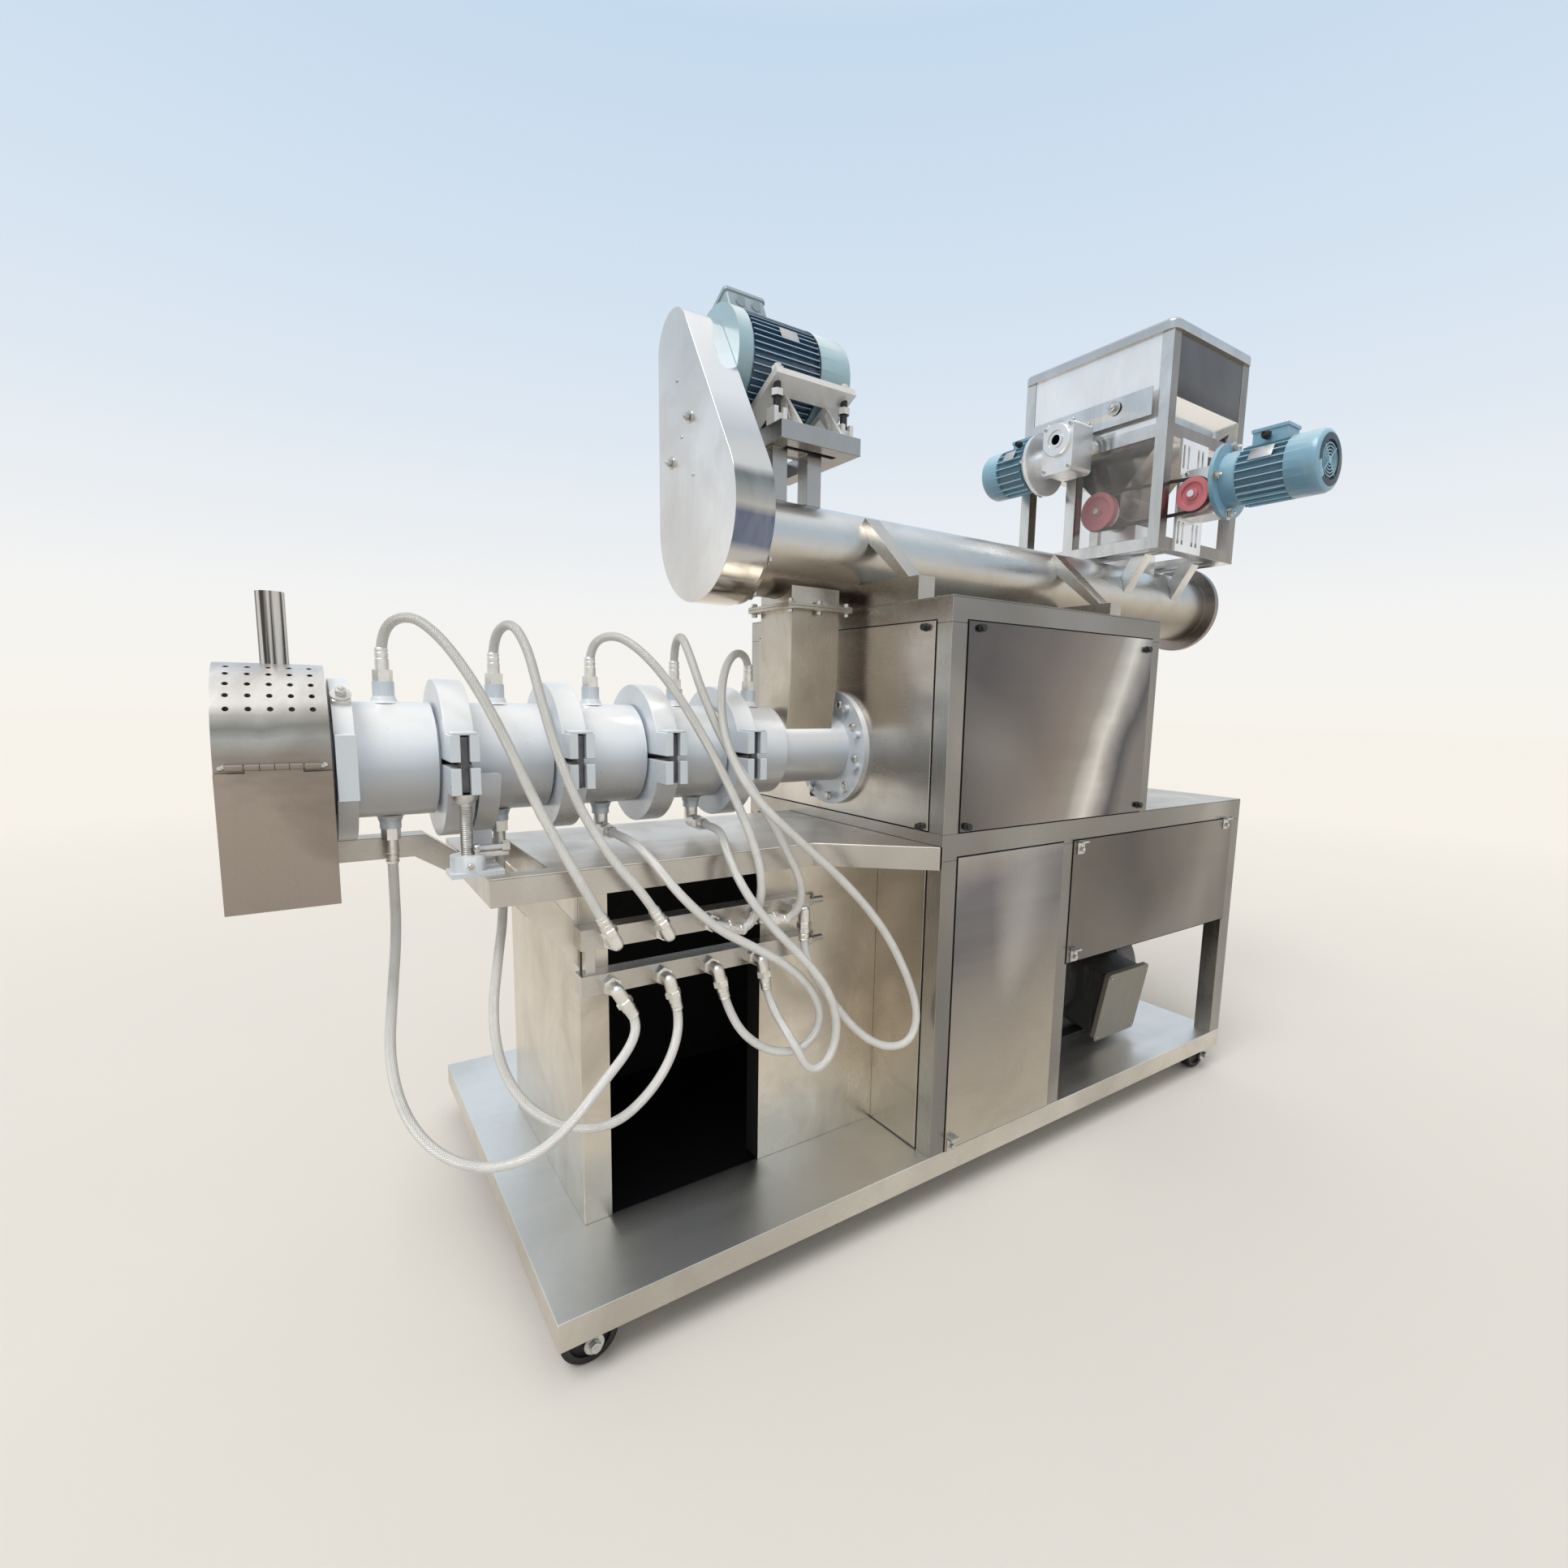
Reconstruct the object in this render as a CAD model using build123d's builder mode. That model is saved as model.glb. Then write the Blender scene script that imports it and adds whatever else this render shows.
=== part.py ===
from build123d import *
import os
from math import acos, atan2, cos, degrees, radians, sin, tan

os.makedirs("parts", exist_ok=True)

# Overall lengths in millimetres, measured from the foot of the cabinet's front left corner post,
# on the deck: x runs along the barrel towards the hopper, y to the back, z up.
guard_left = -1190
end_cover_right = 1478
feeder_motor_front = -212
skid_back = 1005
deck_height = 122
skid_left = -804
skid_right = 1228
skirt_height = 52
skirt_wall = 5
deck_sheet = 3

# Castors
castor_x = (-743, 1167)
castor_y = (48, 957)
wheel_radius = 50
wheel_width = 40
axle_radius = 6
running_gap = 0.05
axle_z = wheel_radius - deck_height

# Cabinet and its square tube frame
tube = 50
cabinet_depth = 786
upper_right = 733
cabinet_right = 1228
mid_rail_z = 662
mid_rail_height = 56
top_rail_z = 1150
cabinet_top_z = 1200
mid_post_x = 391
sheet = 3

# Table and the stand under it
table_left = -846
table_front = 172
table_back = 586
table_bend_x = -206
table_rail_z = 644
table_rail_height = 46
table_rail_width = 40
stand_left = -695
stand_front = 200
stand_back = 702
doorway = (-641, -317)

# Extruder barrel
barrel_y = 380
barrel_z = 876
jacket_radius = 98
neck_radius = 84
clamp_radius = 139
clamp_width = 45
clamp_stations = (-868, -679, -500, -324)
nozzle_stations = tuple(-963 + 179 * number for number in range(5))
bottom_stations = (-963, -784, -589, -388)
feed_radius = 79
feed_step_x = -202
feed_flange_radius = 137

# Cutter guard
guard_right = -1049
guard_radius = 156
guard_bottom = 672
hinge_y = 216
hinge_z = 882
hinge_pin = 2.5
hinge_barrel = 5
vent_x = -1112
vent_top = 1143
vent_bore = 17.5

# Conditioner tube over the cabinet
conditioner_y = 380
conditioner_z = 1320
conditioner_radius = 104
conditioner_left = -282
conditioner_right = 1450

# Belt guard, platform and drive motor
belt_guard_x = (-372, -282)
big_wheel = (393, 1370, 178)
small_wheel = (500, 1737, 74)
platform = ((-224, 290), (-16, 580))
platform_z = 1527
platform_height = 38
plate_tilt = 25
plate_near = (317, 1675)
drive_motor_height = 112

# Hopper frame and feeder
hopper_x = (931, 1338)
hopper_y = (145, 636)
hopper_z = (1428, 2030)
hopper_post = 35
hopper_mid_z = 1730
feeder_y = 380
feeder_z = 1575
pulley_x = 975
pulley_width = 28
drive_pulley = (86, 1567, 45)
driven_pulley_radius = 56

# Water hoses and their manifolds
hose_radius = 8.5
manifold_x = (-703, -218)
manifold_y = (162, 200)
upper_manifold_z = 567
lower_manifold_z = 482
port_stations = tuple(-655 + 98 * number for number in range(5))
fitting_y = 118
fitting_reach = 42

corner_x = -(guard_left + end_cover_right) / 2
corner_y = -(feeder_motor_front + skid_back) / 2


barrel_axis = (barrel_y, barrel_z)
hinge_axis = (hinge_y, hinge_z)
conditioner_axis = (conditioner_y, conditioner_z)
feeder_axis = (feeder_y, feeder_z)


def at(x, y, z):
    return Vector(corner_x + x, corner_y + y, deck_height + z)


def level(z, x=0, y=0):
    """Horizontal plane z above the deck, with x to the right and y to the back."""
    return Plane(origin=at(x, y, z), x_dir=(1, 0, 0), z_dir=(0, 0, 1))


def across(x, y=0, z=0):
    """Upright plane that faces the hopper end; its axes are y and z."""
    return Plane(origin=at(x, y, z), x_dir=(0, 1, 0), z_dir=(1, 0, 0))


def facing(y, x=0, z=0):
    """Upright plane that faces the front; its axes are x and z."""
    return Plane(origin=at(x, y, z), x_dir=(1, 0, 0), z_dir=(0, -1, 0))


def block(x0, x1, y0, y1, z0, z1, mode=Mode.ADD):
    """Square-edged block between two corners, in the part that is being built."""
    with BuildSketch(level(z0, (x0 + x1) / 2, (y0 + y1) / 2)) as footprint:
        Rectangle(x1 - x0, y1 - y0)
    extrude(footprint.sketch, amount=z1 - z0, mode=mode)


def rod(start, end, radius, mode=Mode.ADD):
    """Round bar between two points."""
    axis = at(*end) - at(*start)
    with BuildSketch(Plane(origin=at(*start), z_dir=axis)) as section:
        Circle(radius)
    extrude(section.sketch, amount=axis.length, mode=mode)


def rod_x(x0, x1, spot, radius, mode=Mode.ADD):
    """Round bar along x; spot is its y and z."""
    rod((x0, *spot), (x1, *spot), radius, mode=mode)


def nut(start, end, across_flats, mode=Mode.ADD):
    """Hexagon between two points on its axis."""
    axis = at(*end) - at(*start)
    with BuildSketch(Plane(origin=at(*start), z_dir=axis)) as section:
        RegularPolygon(across_flats / 2, 6, major_radius=False)
    extrude(section.sketch, amount=axis.length, mode=mode)


# Skid: folded skirt with cross tubes under one deck sheet
with BuildPart() as base_frame:
    with BuildSketch(level(-skirt_height, (skid_left + skid_right) / 2, skid_back / 2)):
        Rectangle(skid_right - skid_left, skid_back)
        offset(amount=-skirt_wall, mode=Mode.SUBTRACT)
    extrude(amount=skirt_height - deck_sheet)
    for rib_x in (-640, -200, 240, 680, 1040):
        block(rib_x, rib_x + 40, skirt_wall, skid_back - skirt_wall, -43, -deck_sheet)
base_frame.part.label = "base_frame"
export_step(base_frame.part, "parts/base_frame.step")

with BuildPart() as base_deck:
    block(skid_left, skid_right, 0, skid_back, -deck_sheet, 0)
base_deck.part.label = "base_deck"
export_step(base_deck.part, "parts/base_deck.step")

fork_plate = 8
fork_leg = 6
fork_gap = wheel_width / 2 + 6
with BuildPart() as castor_forks:
    for wheel_x in castor_x:
        for wheel_y in castor_y:
            with BuildSketch(level(-deck_sheet - fork_plate, wheel_x, wheel_y)):
                RectangleRounded(92, 82, 10)
            extrude(amount=fork_plate)
            for leg_y in (wheel_y - fork_gap, wheel_y + fork_gap + fork_leg):
                with BuildSketch(facing(leg_y, wheel_x, axle_z)):
                    Circle(18)
                    with BuildLine():
                        Polyline((-18, 0), (18, 0), (40, 61), (-40, 61), close=True)
                    make_face()
                extrude(amount=fork_leg)
            rod((wheel_x, wheel_y - fork_gap - fork_leg - 5, axle_z),
                (wheel_x, wheel_y + fork_gap + fork_leg + 5, axle_z), axle_radius)
castor_forks.part.label = "castor_forks"
export_step(castor_forks.part, "parts/castor_forks.step")

for side, wheel_x in zip(("left", "right"), castor_x):
    for end, wheel_y in zip(("front", "rear"), castor_y):
        with BuildPart() as castor_wheel:
            with BuildSketch(facing(wheel_y + wheel_width / 2, wheel_x, axle_z)):
                Circle(wheel_radius)
            extrude(amount=wheel_width)
            fillet(castor_wheel.edges().filter_by(GeomType.CIRCLE), radius=6)
            for face_y, depth in ((wheel_y - wheel_width / 2, -7), (wheel_y + wheel_width / 2, 7)):
                with BuildSketch(facing(face_y, wheel_x, axle_z)):
                    Circle(36)
                    Circle(17, mode=Mode.SUBTRACT)
                extrude(amount=depth, mode=Mode.SUBTRACT)
            rod((wheel_x, wheel_y - wheel_width, axle_z), (wheel_x, wheel_y + wheel_width, axle_z),
                axle_radius + running_gap, mode=Mode.SUBTRACT)
        castor_wheel.part.label = f"castor_wheel_{end}_{side}"
        export_step(castor_wheel.part, f"parts/castor_wheel_{end}_{side}.step")

# Cabinet frame of square tube
back_tube = cabinet_depth - tube
with BuildPart() as cabinet_posts:
    for post_x in (0, mid_post_x, cabinet_right - tube):
        for post_y in (0, back_tube):
            block(post_x, post_x + tube, post_y, post_y + tube, 0, mid_rail_z)
    for post_x in (0, upper_right - tube):
        for post_y in (0, back_tube):
            block(post_x, post_x + tube, post_y, post_y + tube, mid_rail_z + mid_rail_height, top_rail_z)
cabinet_posts.part.label = "cabinet_posts"
export_step(cabinet_posts.part, "parts/cabinet_posts.step")

with BuildPart() as cabinet_rails:
    with BuildSketch(level(mid_rail_z, cabinet_right / 2, cabinet_depth / 2)):
        Rectangle(cabinet_right, cabinet_depth)
        offset(amount=-tube, mode=Mode.SUBTRACT)
    extrude(amount=mid_rail_height)
    block(upper_right - tube, upper_right, tube, back_tube, mid_rail_z, mid_rail_z + mid_rail_height)
    with BuildSketch(level(top_rail_z, upper_right / 2, cabinet_depth / 2)):
        Rectangle(upper_right, cabinet_depth)
        offset(amount=-tube, mode=Mode.SUBTRACT)
    extrude(amount=cabinet_top_z - top_rail_z)
cabinet_rails.part.label = "cabinet_rails"
export_step(cabinet_rails.part, "parts/cabinet_rails.step")

bay_cover_z = mid_rail_z + mid_rail_height
with BuildPart() as cabinet_covers:
    block(0, upper_right, 0, cabinet_depth, cabinet_top_z, cabinet_top_z + sheet)
    block(upper_right, cabinet_right, 0, cabinet_depth, bay_cover_z, bay_cover_z + sheet)
cabinet_covers.part.label = "cabinet_covers"
export_step(cabinet_covers.part, "parts/cabinet_covers.step")

# Panels lie on the frame's outer faces and lap over the tubes
lap = 5
upper_panel_z = (mid_rail_z + mid_rail_height + sheet, top_rail_z + lap)
lower_panel_z = (sheet, mid_rail_z + lap)
bay_panel_z = (362, mid_rail_z + lap)
panel_x = (tube - lap, upper_right - tube + 16)
bay_panel_x = (mid_post_x + tube - lap, cabinet_right - tube + lap)

with BuildPart() as upper_front_panel:
    block(*panel_x, -sheet, 0, *upper_panel_z)
upper_front_panel.part.label = "upper_front_panel"
export_step(upper_front_panel.part, "parts/upper_front_panel.step")

with BuildPart() as lower_front_panel:
    block(tube - lap, mid_post_x + lap, -sheet, 0, *lower_panel_z)
lower_front_panel.part.label = "lower_front_panel"
export_step(lower_front_panel.part, "parts/lower_front_panel.step")

panel_return = 24
with BuildPart() as bay_front_panel:
    block(*bay_panel_x, -sheet, 0, *bay_panel_z)
    block(mid_post_x + tube + 1, cabinet_right - tube - 1, 0, panel_return, bay_panel_z[0],
          bay_panel_z[0] + sheet)
bay_front_panel.part.label = "bay_front_panel"
export_step(bay_front_panel.part, "parts/bay_front_panel.step")

with BuildPart() as side_panels:
    block(-sheet, 0, tube - lap, back_tube + lap, *upper_panel_z)
    block(-sheet, 0, tube - lap, back_tube + lap, *lower_panel_z)
    block(upper_right, upper_right + sheet, tube - lap, back_tube + lap, upper_panel_z[0] + sheet,
          upper_panel_z[1])
    block(cabinet_right, cabinet_right + sheet, tube - lap, back_tube + lap, *bay_panel_z)
side_panels.part.label = "side_panels"
export_step(side_panels.part, "parts/side_panels.step")

with BuildPart() as rear_panels:
    block(*panel_x, cabinet_depth, cabinet_depth + sheet, *upper_panel_z)
    block(tube - lap, mid_post_x + lap, cabinet_depth, cabinet_depth + sheet, *lower_panel_z)
    block(*bay_panel_x, cabinet_depth, cabinet_depth + sheet, *bay_panel_z)
rear_panels.part.label = "rear_panels"
export_step(rear_panels.part, "parts/rear_panels.step")

# Main motor in the open bay, with its terminal box turned to the front
main_motor_y = 330
main_motor_z = 165
main_motor_radius = 130
main_box_tilt = 10
with BuildPart() as main_motor:
    with BuildSketch(Plane(origin=at(0, main_motor_y, main_motor_z), x_dir=(1, 0, 0), z_dir=(0, -1, 0))):
        with BuildLine():
            Polyline((560, 0), (560, 24), (640, 24), (640, 118), (665, 142), (705, 142), (705, 125),
                     (985, 125), (985, 138), (1010, 138), (1010, 134), (1075, 134), (1100, 110), (1100, 0),
                     close=True)
        make_face()
    revolve(axis=Axis(at(0, main_motor_y, main_motor_z), (1, 0, 0)))
    for foot_y in (-1, 1):
        outer = main_motor_y + foot_y * 128
        inner = main_motor_y + foot_y * 70
        block(720, 960, min(outer, inner), max(outer, inner), 0, 16)
        block(740, 940, min(inner, inner + foot_y * 24), max(inner, inner + foot_y * 24), 0, 90)
    box_plane = Plane(origin=at(870, main_motor_y, main_motor_z), x_dir=(1, 0, 0),
                      z_dir=(0, -cos(radians(main_box_tilt)), -sin(radians(main_box_tilt))))
    with BuildSketch(box_plane.offset(100)):
        RectangleRounded(176, 196, 10)
    extrude(amount=110)
    with BuildSketch(box_plane.offset(210)):
        RectangleRounded(196, 216, 12)
    extrude(amount=14)
main_motor.part.label = "main_motor"
export_step(main_motor.part, "parts/main_motor.step")

# Stand under the table: folded sheet walls with a doorway in front
with BuildPart() as stand_walls:
    with BuildSketch(level(0)):
        with BuildLine():
            Polyline((doorway[0], stand_front), (stand_left, stand_front), (stand_left, stand_back),
                     (-sheet, stand_back), (-sheet, stand_back - sheet),
                     (stand_left + sheet, stand_back - sheet),
                     (stand_left + sheet, stand_front + sheet), (doorway[0], stand_front + sheet), close=True)
        make_face()
        with BuildLine():
            Polyline((-sheet, stand_front), (doorway[1], stand_front), (doorway[1], stand_front + tube),
                     (doorway[1] + sheet, stand_front + tube), (doorway[1] + sheet, stand_front + sheet),
                     (-sheet, stand_front + sheet), close=True)
        make_face()
    extrude(amount=table_rail_z)
stand_walls.part.label = "stand_walls"
export_step(stand_walls.part, "parts/stand_walls.step")

# Table: tube frame with a bent near rail, a top sheet with a window, and gussets
table_corners = ((table_left, table_front), (table_bend_x, table_front), (-sheet, 3), (-sheet, table_back),
                 (table_left, table_back))
window = (-806, -742)
with BuildPart() as table_frame:
    with BuildSketch(level(table_rail_z)):
        with BuildLine():
            Polyline(*table_corners, close=True)
        make_face()
        offset(amount=-table_rail_width, mode=Mode.SUBTRACT)
    extrude(amount=table_rail_height)
    block(window[1], window[1] + tube, table_front + table_rail_width, table_back - table_rail_width,
          table_rail_z, table_rail_z + table_rail_height)
table_frame.part.label = "table_frame"
export_step(table_frame.part, "parts/table_frame.step")

table_top_z = table_rail_z + table_rail_height + sheet
with BuildPart() as table_top:
    with BuildSketch(level(table_rail_z + table_rail_height)):
        with BuildLine():
            Polyline(*table_corners, close=True)
        make_face()
        with Locations(((window[0] + window[1]) / 2, (table_front + table_back) / 2)):
            Rectangle(window[1] - window[0], table_back - table_front - 2 * table_rail_width,
                      mode=Mode.SUBTRACT)
    extrude(amount=sheet)
table_top.part.label = "table_top"
export_step(table_top.part, "parts/table_top.step")

gusset_sheet = 5
with BuildPart() as table_gussets:
    for gusset_y in (stand_front + gusset_sheet, table_back - 14):
        with BuildSketch(facing(gusset_y)):
            with BuildLine():
                Polyline((-806, table_rail_z), (stand_left, table_rail_z), (stand_left, 505), close=True)
            make_face()
            with BuildLine():
                Polyline((-738, table_rail_z - 6), (stand_left - 8, table_rail_z - 6), (stand_left - 8, 594),
                         close=True)
            make_face(mode=Mode.SUBTRACT)
        extrude(amount=gusset_sheet)
table_gussets.part.label = "table_gussets"
export_step(table_gussets.part, "parts/table_gussets.step")

# Arm from the end of the table to the cutter guard, over a sloping web
arm_y = (410, 460)
with BuildPart() as guard_arm:
    with BuildSketch(facing(arm_y[1])):
        with BuildLine():
            Polyline((guard_right, 695), (-925, 695), (table_left, table_rail_z), (table_left, 690), (-905, 734),
                     (guard_right, 734), close=True)
        make_face()
    extrude(amount=arm_y[1] - arm_y[0])
guard_arm.part.label = "guard_arm"
export_step(guard_arm.part, "parts/guard_arm.step")

# Barrel: four jacketed sections, held end to end by ring clamps
clamp_left = [station - clamp_width / 2 for station in clamp_stations]
clamp_right = [station + clamp_width / 2 for station in clamp_stations]
section_left = [guard_right + 34] + clamp_right[:3]
clamp_gap = 5
boss_radius = 17
boss_top = 132
boss_bottom = 120
with BuildPart() as barrel_sections:
    for start, end, top_x, bottom_x in zip(section_left, clamp_left, nozzle_stations, bottom_stations):
        rod_x(start, end - clamp_gap, barrel_axis, jacket_radius)
        rod_x(end - clamp_gap, end, barrel_axis, neck_radius)
        rod((top_x, *barrel_axis), (top_x, barrel_y, barrel_z + boss_top), boss_radius)
        rod((bottom_x, *barrel_axis), (bottom_x, barrel_y, barrel_z - boss_bottom), boss_radius)
barrel_sections.part.label = "barrel_sections"
export_step(barrel_sections.part, "parts/barrel_sections.step")

flange_x = (-18, -sheet)
with BuildPart() as feed_section:
    rod_x(clamp_right[3], feed_step_x, barrel_axis, jacket_radius)
    rod_x(feed_step_x, flange_x[0], barrel_axis, feed_radius)
    rod_x(flange_x[0], flange_x[1], barrel_axis, feed_flange_radius)
    rod((nozzle_stations[4], *barrel_axis), (nozzle_stations[4], barrel_y, barrel_z + boss_top), boss_radius)
    with BuildSketch(across(flange_x[0], barrel_y, barrel_z)):
        with PolarLocations(feed_flange_radius - 20, 10, start_angle=18):
            Circle(9)
    extrude(amount=-11)
feed_section.part.label = "feed_section"
export_step(feed_section.part, "parts/feed_section.step")


def clamp_ring(station, width, radius):
    """Two half rings with forked lugs at the front and plain ones at the back, 10 mm apart."""
    lug_height = 44
    lug_reach = 175
    lug_inner = 30
    fork = 14
    for side in (-1, 1):
        with BuildSketch(across(station - width / 2, barrel_y, barrel_z)) as half:
            Circle(radius)
            for end in (-1, 1):
                with Locations((end * (lug_reach / 2 + lug_inner), side * (lug_height / 2 + 5))):
                    Rectangle(lug_reach - 2 * lug_inner, lug_height)
            Circle(neck_radius, mode=Mode.SUBTRACT)
            with Locations((0, side * (5 - radius))):
                Rectangle(2 * lug_reach + 10, 2 * radius, mode=Mode.SUBTRACT)
        extrude(half.sketch, amount=width)
        for slot_y in (barrel_y - lug_reach + 20, barrel_y + lug_reach - 20):
            heights = sorted((barrel_z + side * 4, barrel_z + side * 60))
            block(station - fork / 2, station + fork / 2, slot_y - 24, slot_y + 24, *heights,
                  mode=Mode.SUBTRACT)


with BuildPart() as barrel_clamps:
    for station in clamp_stations:
        clamp_ring(station, clamp_width, clamp_radius)
barrel_clamps.part.label = "barrel_clamps"
export_step(barrel_clamps.part, "parts/barrel_clamps.step")

# Swing bolts in the clamps' forks
with BuildPart() as clamp_bolts:
    for station in clamp_stations:
        for bolt_y in (barrel_y - 155, barrel_y + 155):
            block(station - 7, station + 7, bolt_y - 7, bolt_y + 7, barrel_z - 46, barrel_z + 46)
clamp_bolts.part.label = "clamp_bolts"
export_step(clamp_bolts.part, "parts/clamp_bolts.step")

# Die head in its own clamp, inside the guard
with BuildPart() as die_head:
    rod_x(guard_left + 60, guard_right + 34, barrel_axis, 90)
    with BuildSketch(across(guard_right + 5, barrel_y, barrel_z)):
        Circle(135)
        with Locations((-125, 0)):
            Rectangle(70, 100)
    extrude(amount=28)
die_head.part.label = "die_head"
export_step(die_head.part, "parts/die_head.step")

# Cutter guard: arched hood with end plates and a vent pipe, and a hinged front flap
hood_sheet = 3
hole_radius = 4
hole_stations = [guard_left + 18 + 26 * number for number in range(5)]
hole_angles = (34, 43, 52, 62, 72)
with BuildPart() as guard_hood:
    with BuildSketch(across(guard_left)):
        with BuildLine():
            Line((barrel_y + guard_radius, guard_bottom), (barrel_y + guard_radius, barrel_z))
            ThreePointArc((barrel_y + guard_radius, barrel_z), (barrel_y, barrel_z + guard_radius),
                          (barrel_y - guard_radius, barrel_z))
            Line((barrel_y - guard_radius, barrel_z), (barrel_y - guard_radius, guard_bottom))
            Line((barrel_y - guard_radius, guard_bottom), (barrel_y + guard_radius, guard_bottom))
        make_face()
    extrude(amount=guard_right - guard_left)
    block(guard_left + hood_sheet, guard_right - hood_sheet, barrel_y - guard_radius + hood_sheet,
          barrel_y + guard_radius - hood_sheet, guard_bottom, barrel_z, mode=Mode.SUBTRACT)
    rod((guard_left + hood_sheet, barrel_y, barrel_z), (guard_right - hood_sheet, barrel_y, barrel_z),
        guard_radius - hood_sheet, mode=Mode.SUBTRACT)
    rod_x(guard_right - hood_sheet, guard_right, barrel_axis, 91, mode=Mode.SUBTRACT)
    block(guard_left + hood_sheet, guard_right - hood_sheet, barrel_y - guard_radius,
          barrel_y - guard_radius + hood_sheet, guard_bottom, hinge_z - 12, mode=Mode.SUBTRACT)
    rod((vent_x, barrel_y, barrel_z + guard_radius - 6), (vent_x, barrel_y, vent_top), vent_bore + 2)
    rod((vent_x, barrel_y, barrel_z + guard_radius - 8), (vent_x, barrel_y, vent_top + 1), vent_bore,
        mode=Mode.SUBTRACT)
    for angle in hole_angles:
        outward = (-cos(radians(angle)), sin(radians(angle)))
        for hole_x in hole_stations:
            near, far = [(hole_x, barrel_y + reach * outward[0], barrel_z + reach * outward[1])
                         for reach in (guard_radius - 12, guard_radius + 4)]
            rod(near, far, hole_radius, mode=Mode.SUBTRACT)
    for knuckle in ((guard_left + 14, guard_left + 34), (guard_right - 34, guard_right - 14)):
        rod_x(*knuckle, hinge_axis, hinge_barrel)
        block(*knuckle, hinge_y + 2, barrel_y - guard_radius + 1, hinge_z - 4, hinge_z + 4)
    rod_x(guard_left + 14, guard_right - 14, hinge_axis, hinge_pin)
guard_hood.part.label = "guard_hood"
export_step(guard_hood.part, "parts/guard_hood.step")

with BuildPart() as guard_flap:
    block(guard_left, guard_right, hinge_y - 2, hinge_y, guard_bottom, hinge_z - 8)
    block(guard_left + 36, guard_right - 36, hinge_y - 2, hinge_y, hinge_z - 10, hinge_z)
    rod_x(guard_left + 36, guard_right - 36, hinge_axis, hinge_barrel)
    rod_x(guard_left + 35, guard_right - 35, hinge_axis, hinge_pin + running_gap, mode=Mode.SUBTRACT)
guard_flap.part.label = "guard_flap"
export_step(guard_flap.part, "parts/guard_flap.step")

# Cradle under the barrel, and the screw jack of the first clamp
jack_x = -868
jack_y = 225
with BuildPart() as barrel_supports:
    with BuildSketch(across(-840, barrel_y, barrel_z)):
        Circle(clamp_radius - 3)
        with Locations((0, -150)):
            Rectangle(90, 80)
        Circle(jacket_radius, mode=Mode.SUBTRACT)
        with Locations((0, 150)):
            Rectangle(300, 340, mode=Mode.SUBTRACT)
        with Locations((0, table_top_z - barrel_z - 100)):
            Rectangle(300, 200, mode=Mode.SUBTRACT)
    extrude(amount=34)
    block(jack_x - 30, table_left + 30, jack_y - 28, jack_y + 28, table_top_z, table_top_z + 8)
    rod((jack_x, jack_y, table_top_z + 8), (jack_x, jack_y, table_top_z + 34), 27)
    rod((jack_x, jack_y, table_top_z + 34), (jack_x, jack_y, barrel_z - 49), 9)
barrel_supports.part.label = "barrel_supports"
export_step(barrel_supports.part, "parts/barrel_supports.step")

# Conditioner tube with its end covers, on two saddles
with BuildPart() as conditioner_tube:
    rod_x(conditioner_left, conditioner_right, conditioner_axis, conditioner_radius)
    rod_x(conditioner_left, conditioner_left + 14, conditioner_axis, 125)
    rod_x(conditioner_right, conditioner_right + 20, conditioner_axis, 138)
    with BuildSketch(across(conditioner_right + 20, conditioner_y, conditioner_z)):
        with PolarLocations(120, 8, start_angle=22.5):
            RegularPolygon(9, 6)
    extrude(amount=8)
conditioner_tube.part.label = "conditioner_tube"
export_step(conditioner_tube.part, "parts/conditioner_tube.step")

saddle_beam_y = (105, 655)
saddle_top_z = cabinet_top_z + sheet + tube
with BuildPart() as conditioner_saddles:
    for saddle_x in (2, 672):
        block(saddle_x, saddle_x + 46, *saddle_beam_y, cabinet_top_z + sheet, saddle_top_z)
        for side in (-1, 1):
            with BuildSketch(across(saddle_x + 2)):
                with BuildLine():
                    Polyline((conditioner_y + side * 242, saddle_top_z),
                             (conditioner_y + side * 214, saddle_top_z),
                             (conditioner_y + side * 60, 1375), (conditioner_y + side * 88, 1400), close=True)
                make_face()
            extrude(amount=42)
    rod_x(0, upper_right, conditioner_axis, conditioner_radius,
        mode=Mode.SUBTRACT)
conditioner_saddles.part.label = "conditioner_saddles"
export_step(conditioner_saddles.part, "parts/conditioner_saddles.step")

# Square feed chute from the conditioner down to the barrel
chute_x = (-176, -46)
chute_y = (conditioner_y - 65, conditioner_y + 65)
flange_sides = (chute_x[0] - 22, chute_x[1] + 22, chute_y[0] - 22, chute_y[1] + 22)
chute_flange_z = 1187
with BuildPart() as upper_chute:
    block(*chute_x, *chute_y, chute_flange_z + 6, conditioner_z - 40)
    rod_x(conditioner_left, 0, conditioner_axis, conditioner_radius, mode=Mode.SUBTRACT)
    block(*flange_sides, chute_flange_z + 6, chute_flange_z + 12)
upper_chute.part.label = "upper_chute"
export_step(upper_chute.part, "parts/upper_chute.step")

with BuildPart() as lower_chute:
    block(*flange_sides, chute_flange_z, chute_flange_z + 6)
    block(*chute_x, *chute_y, 1042, chute_flange_z)
    with BuildSketch(level(1042, (chute_x[0] + chute_x[1]) / 2, barrel_y)):
        Rectangle(130, 130)
    with BuildSketch(level(900, (chute_x[0] + chute_x[1]) / 2 - 12, barrel_y)):
        Rectangle(124, 124)
    loft()
    rod_x(feed_step_x, 0, barrel_axis, feed_radius, mode=Mode.SUBTRACT)
lower_chute.part.label = "lower_chute"
export_step(lower_chute.part, "parts/lower_chute.step")

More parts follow.
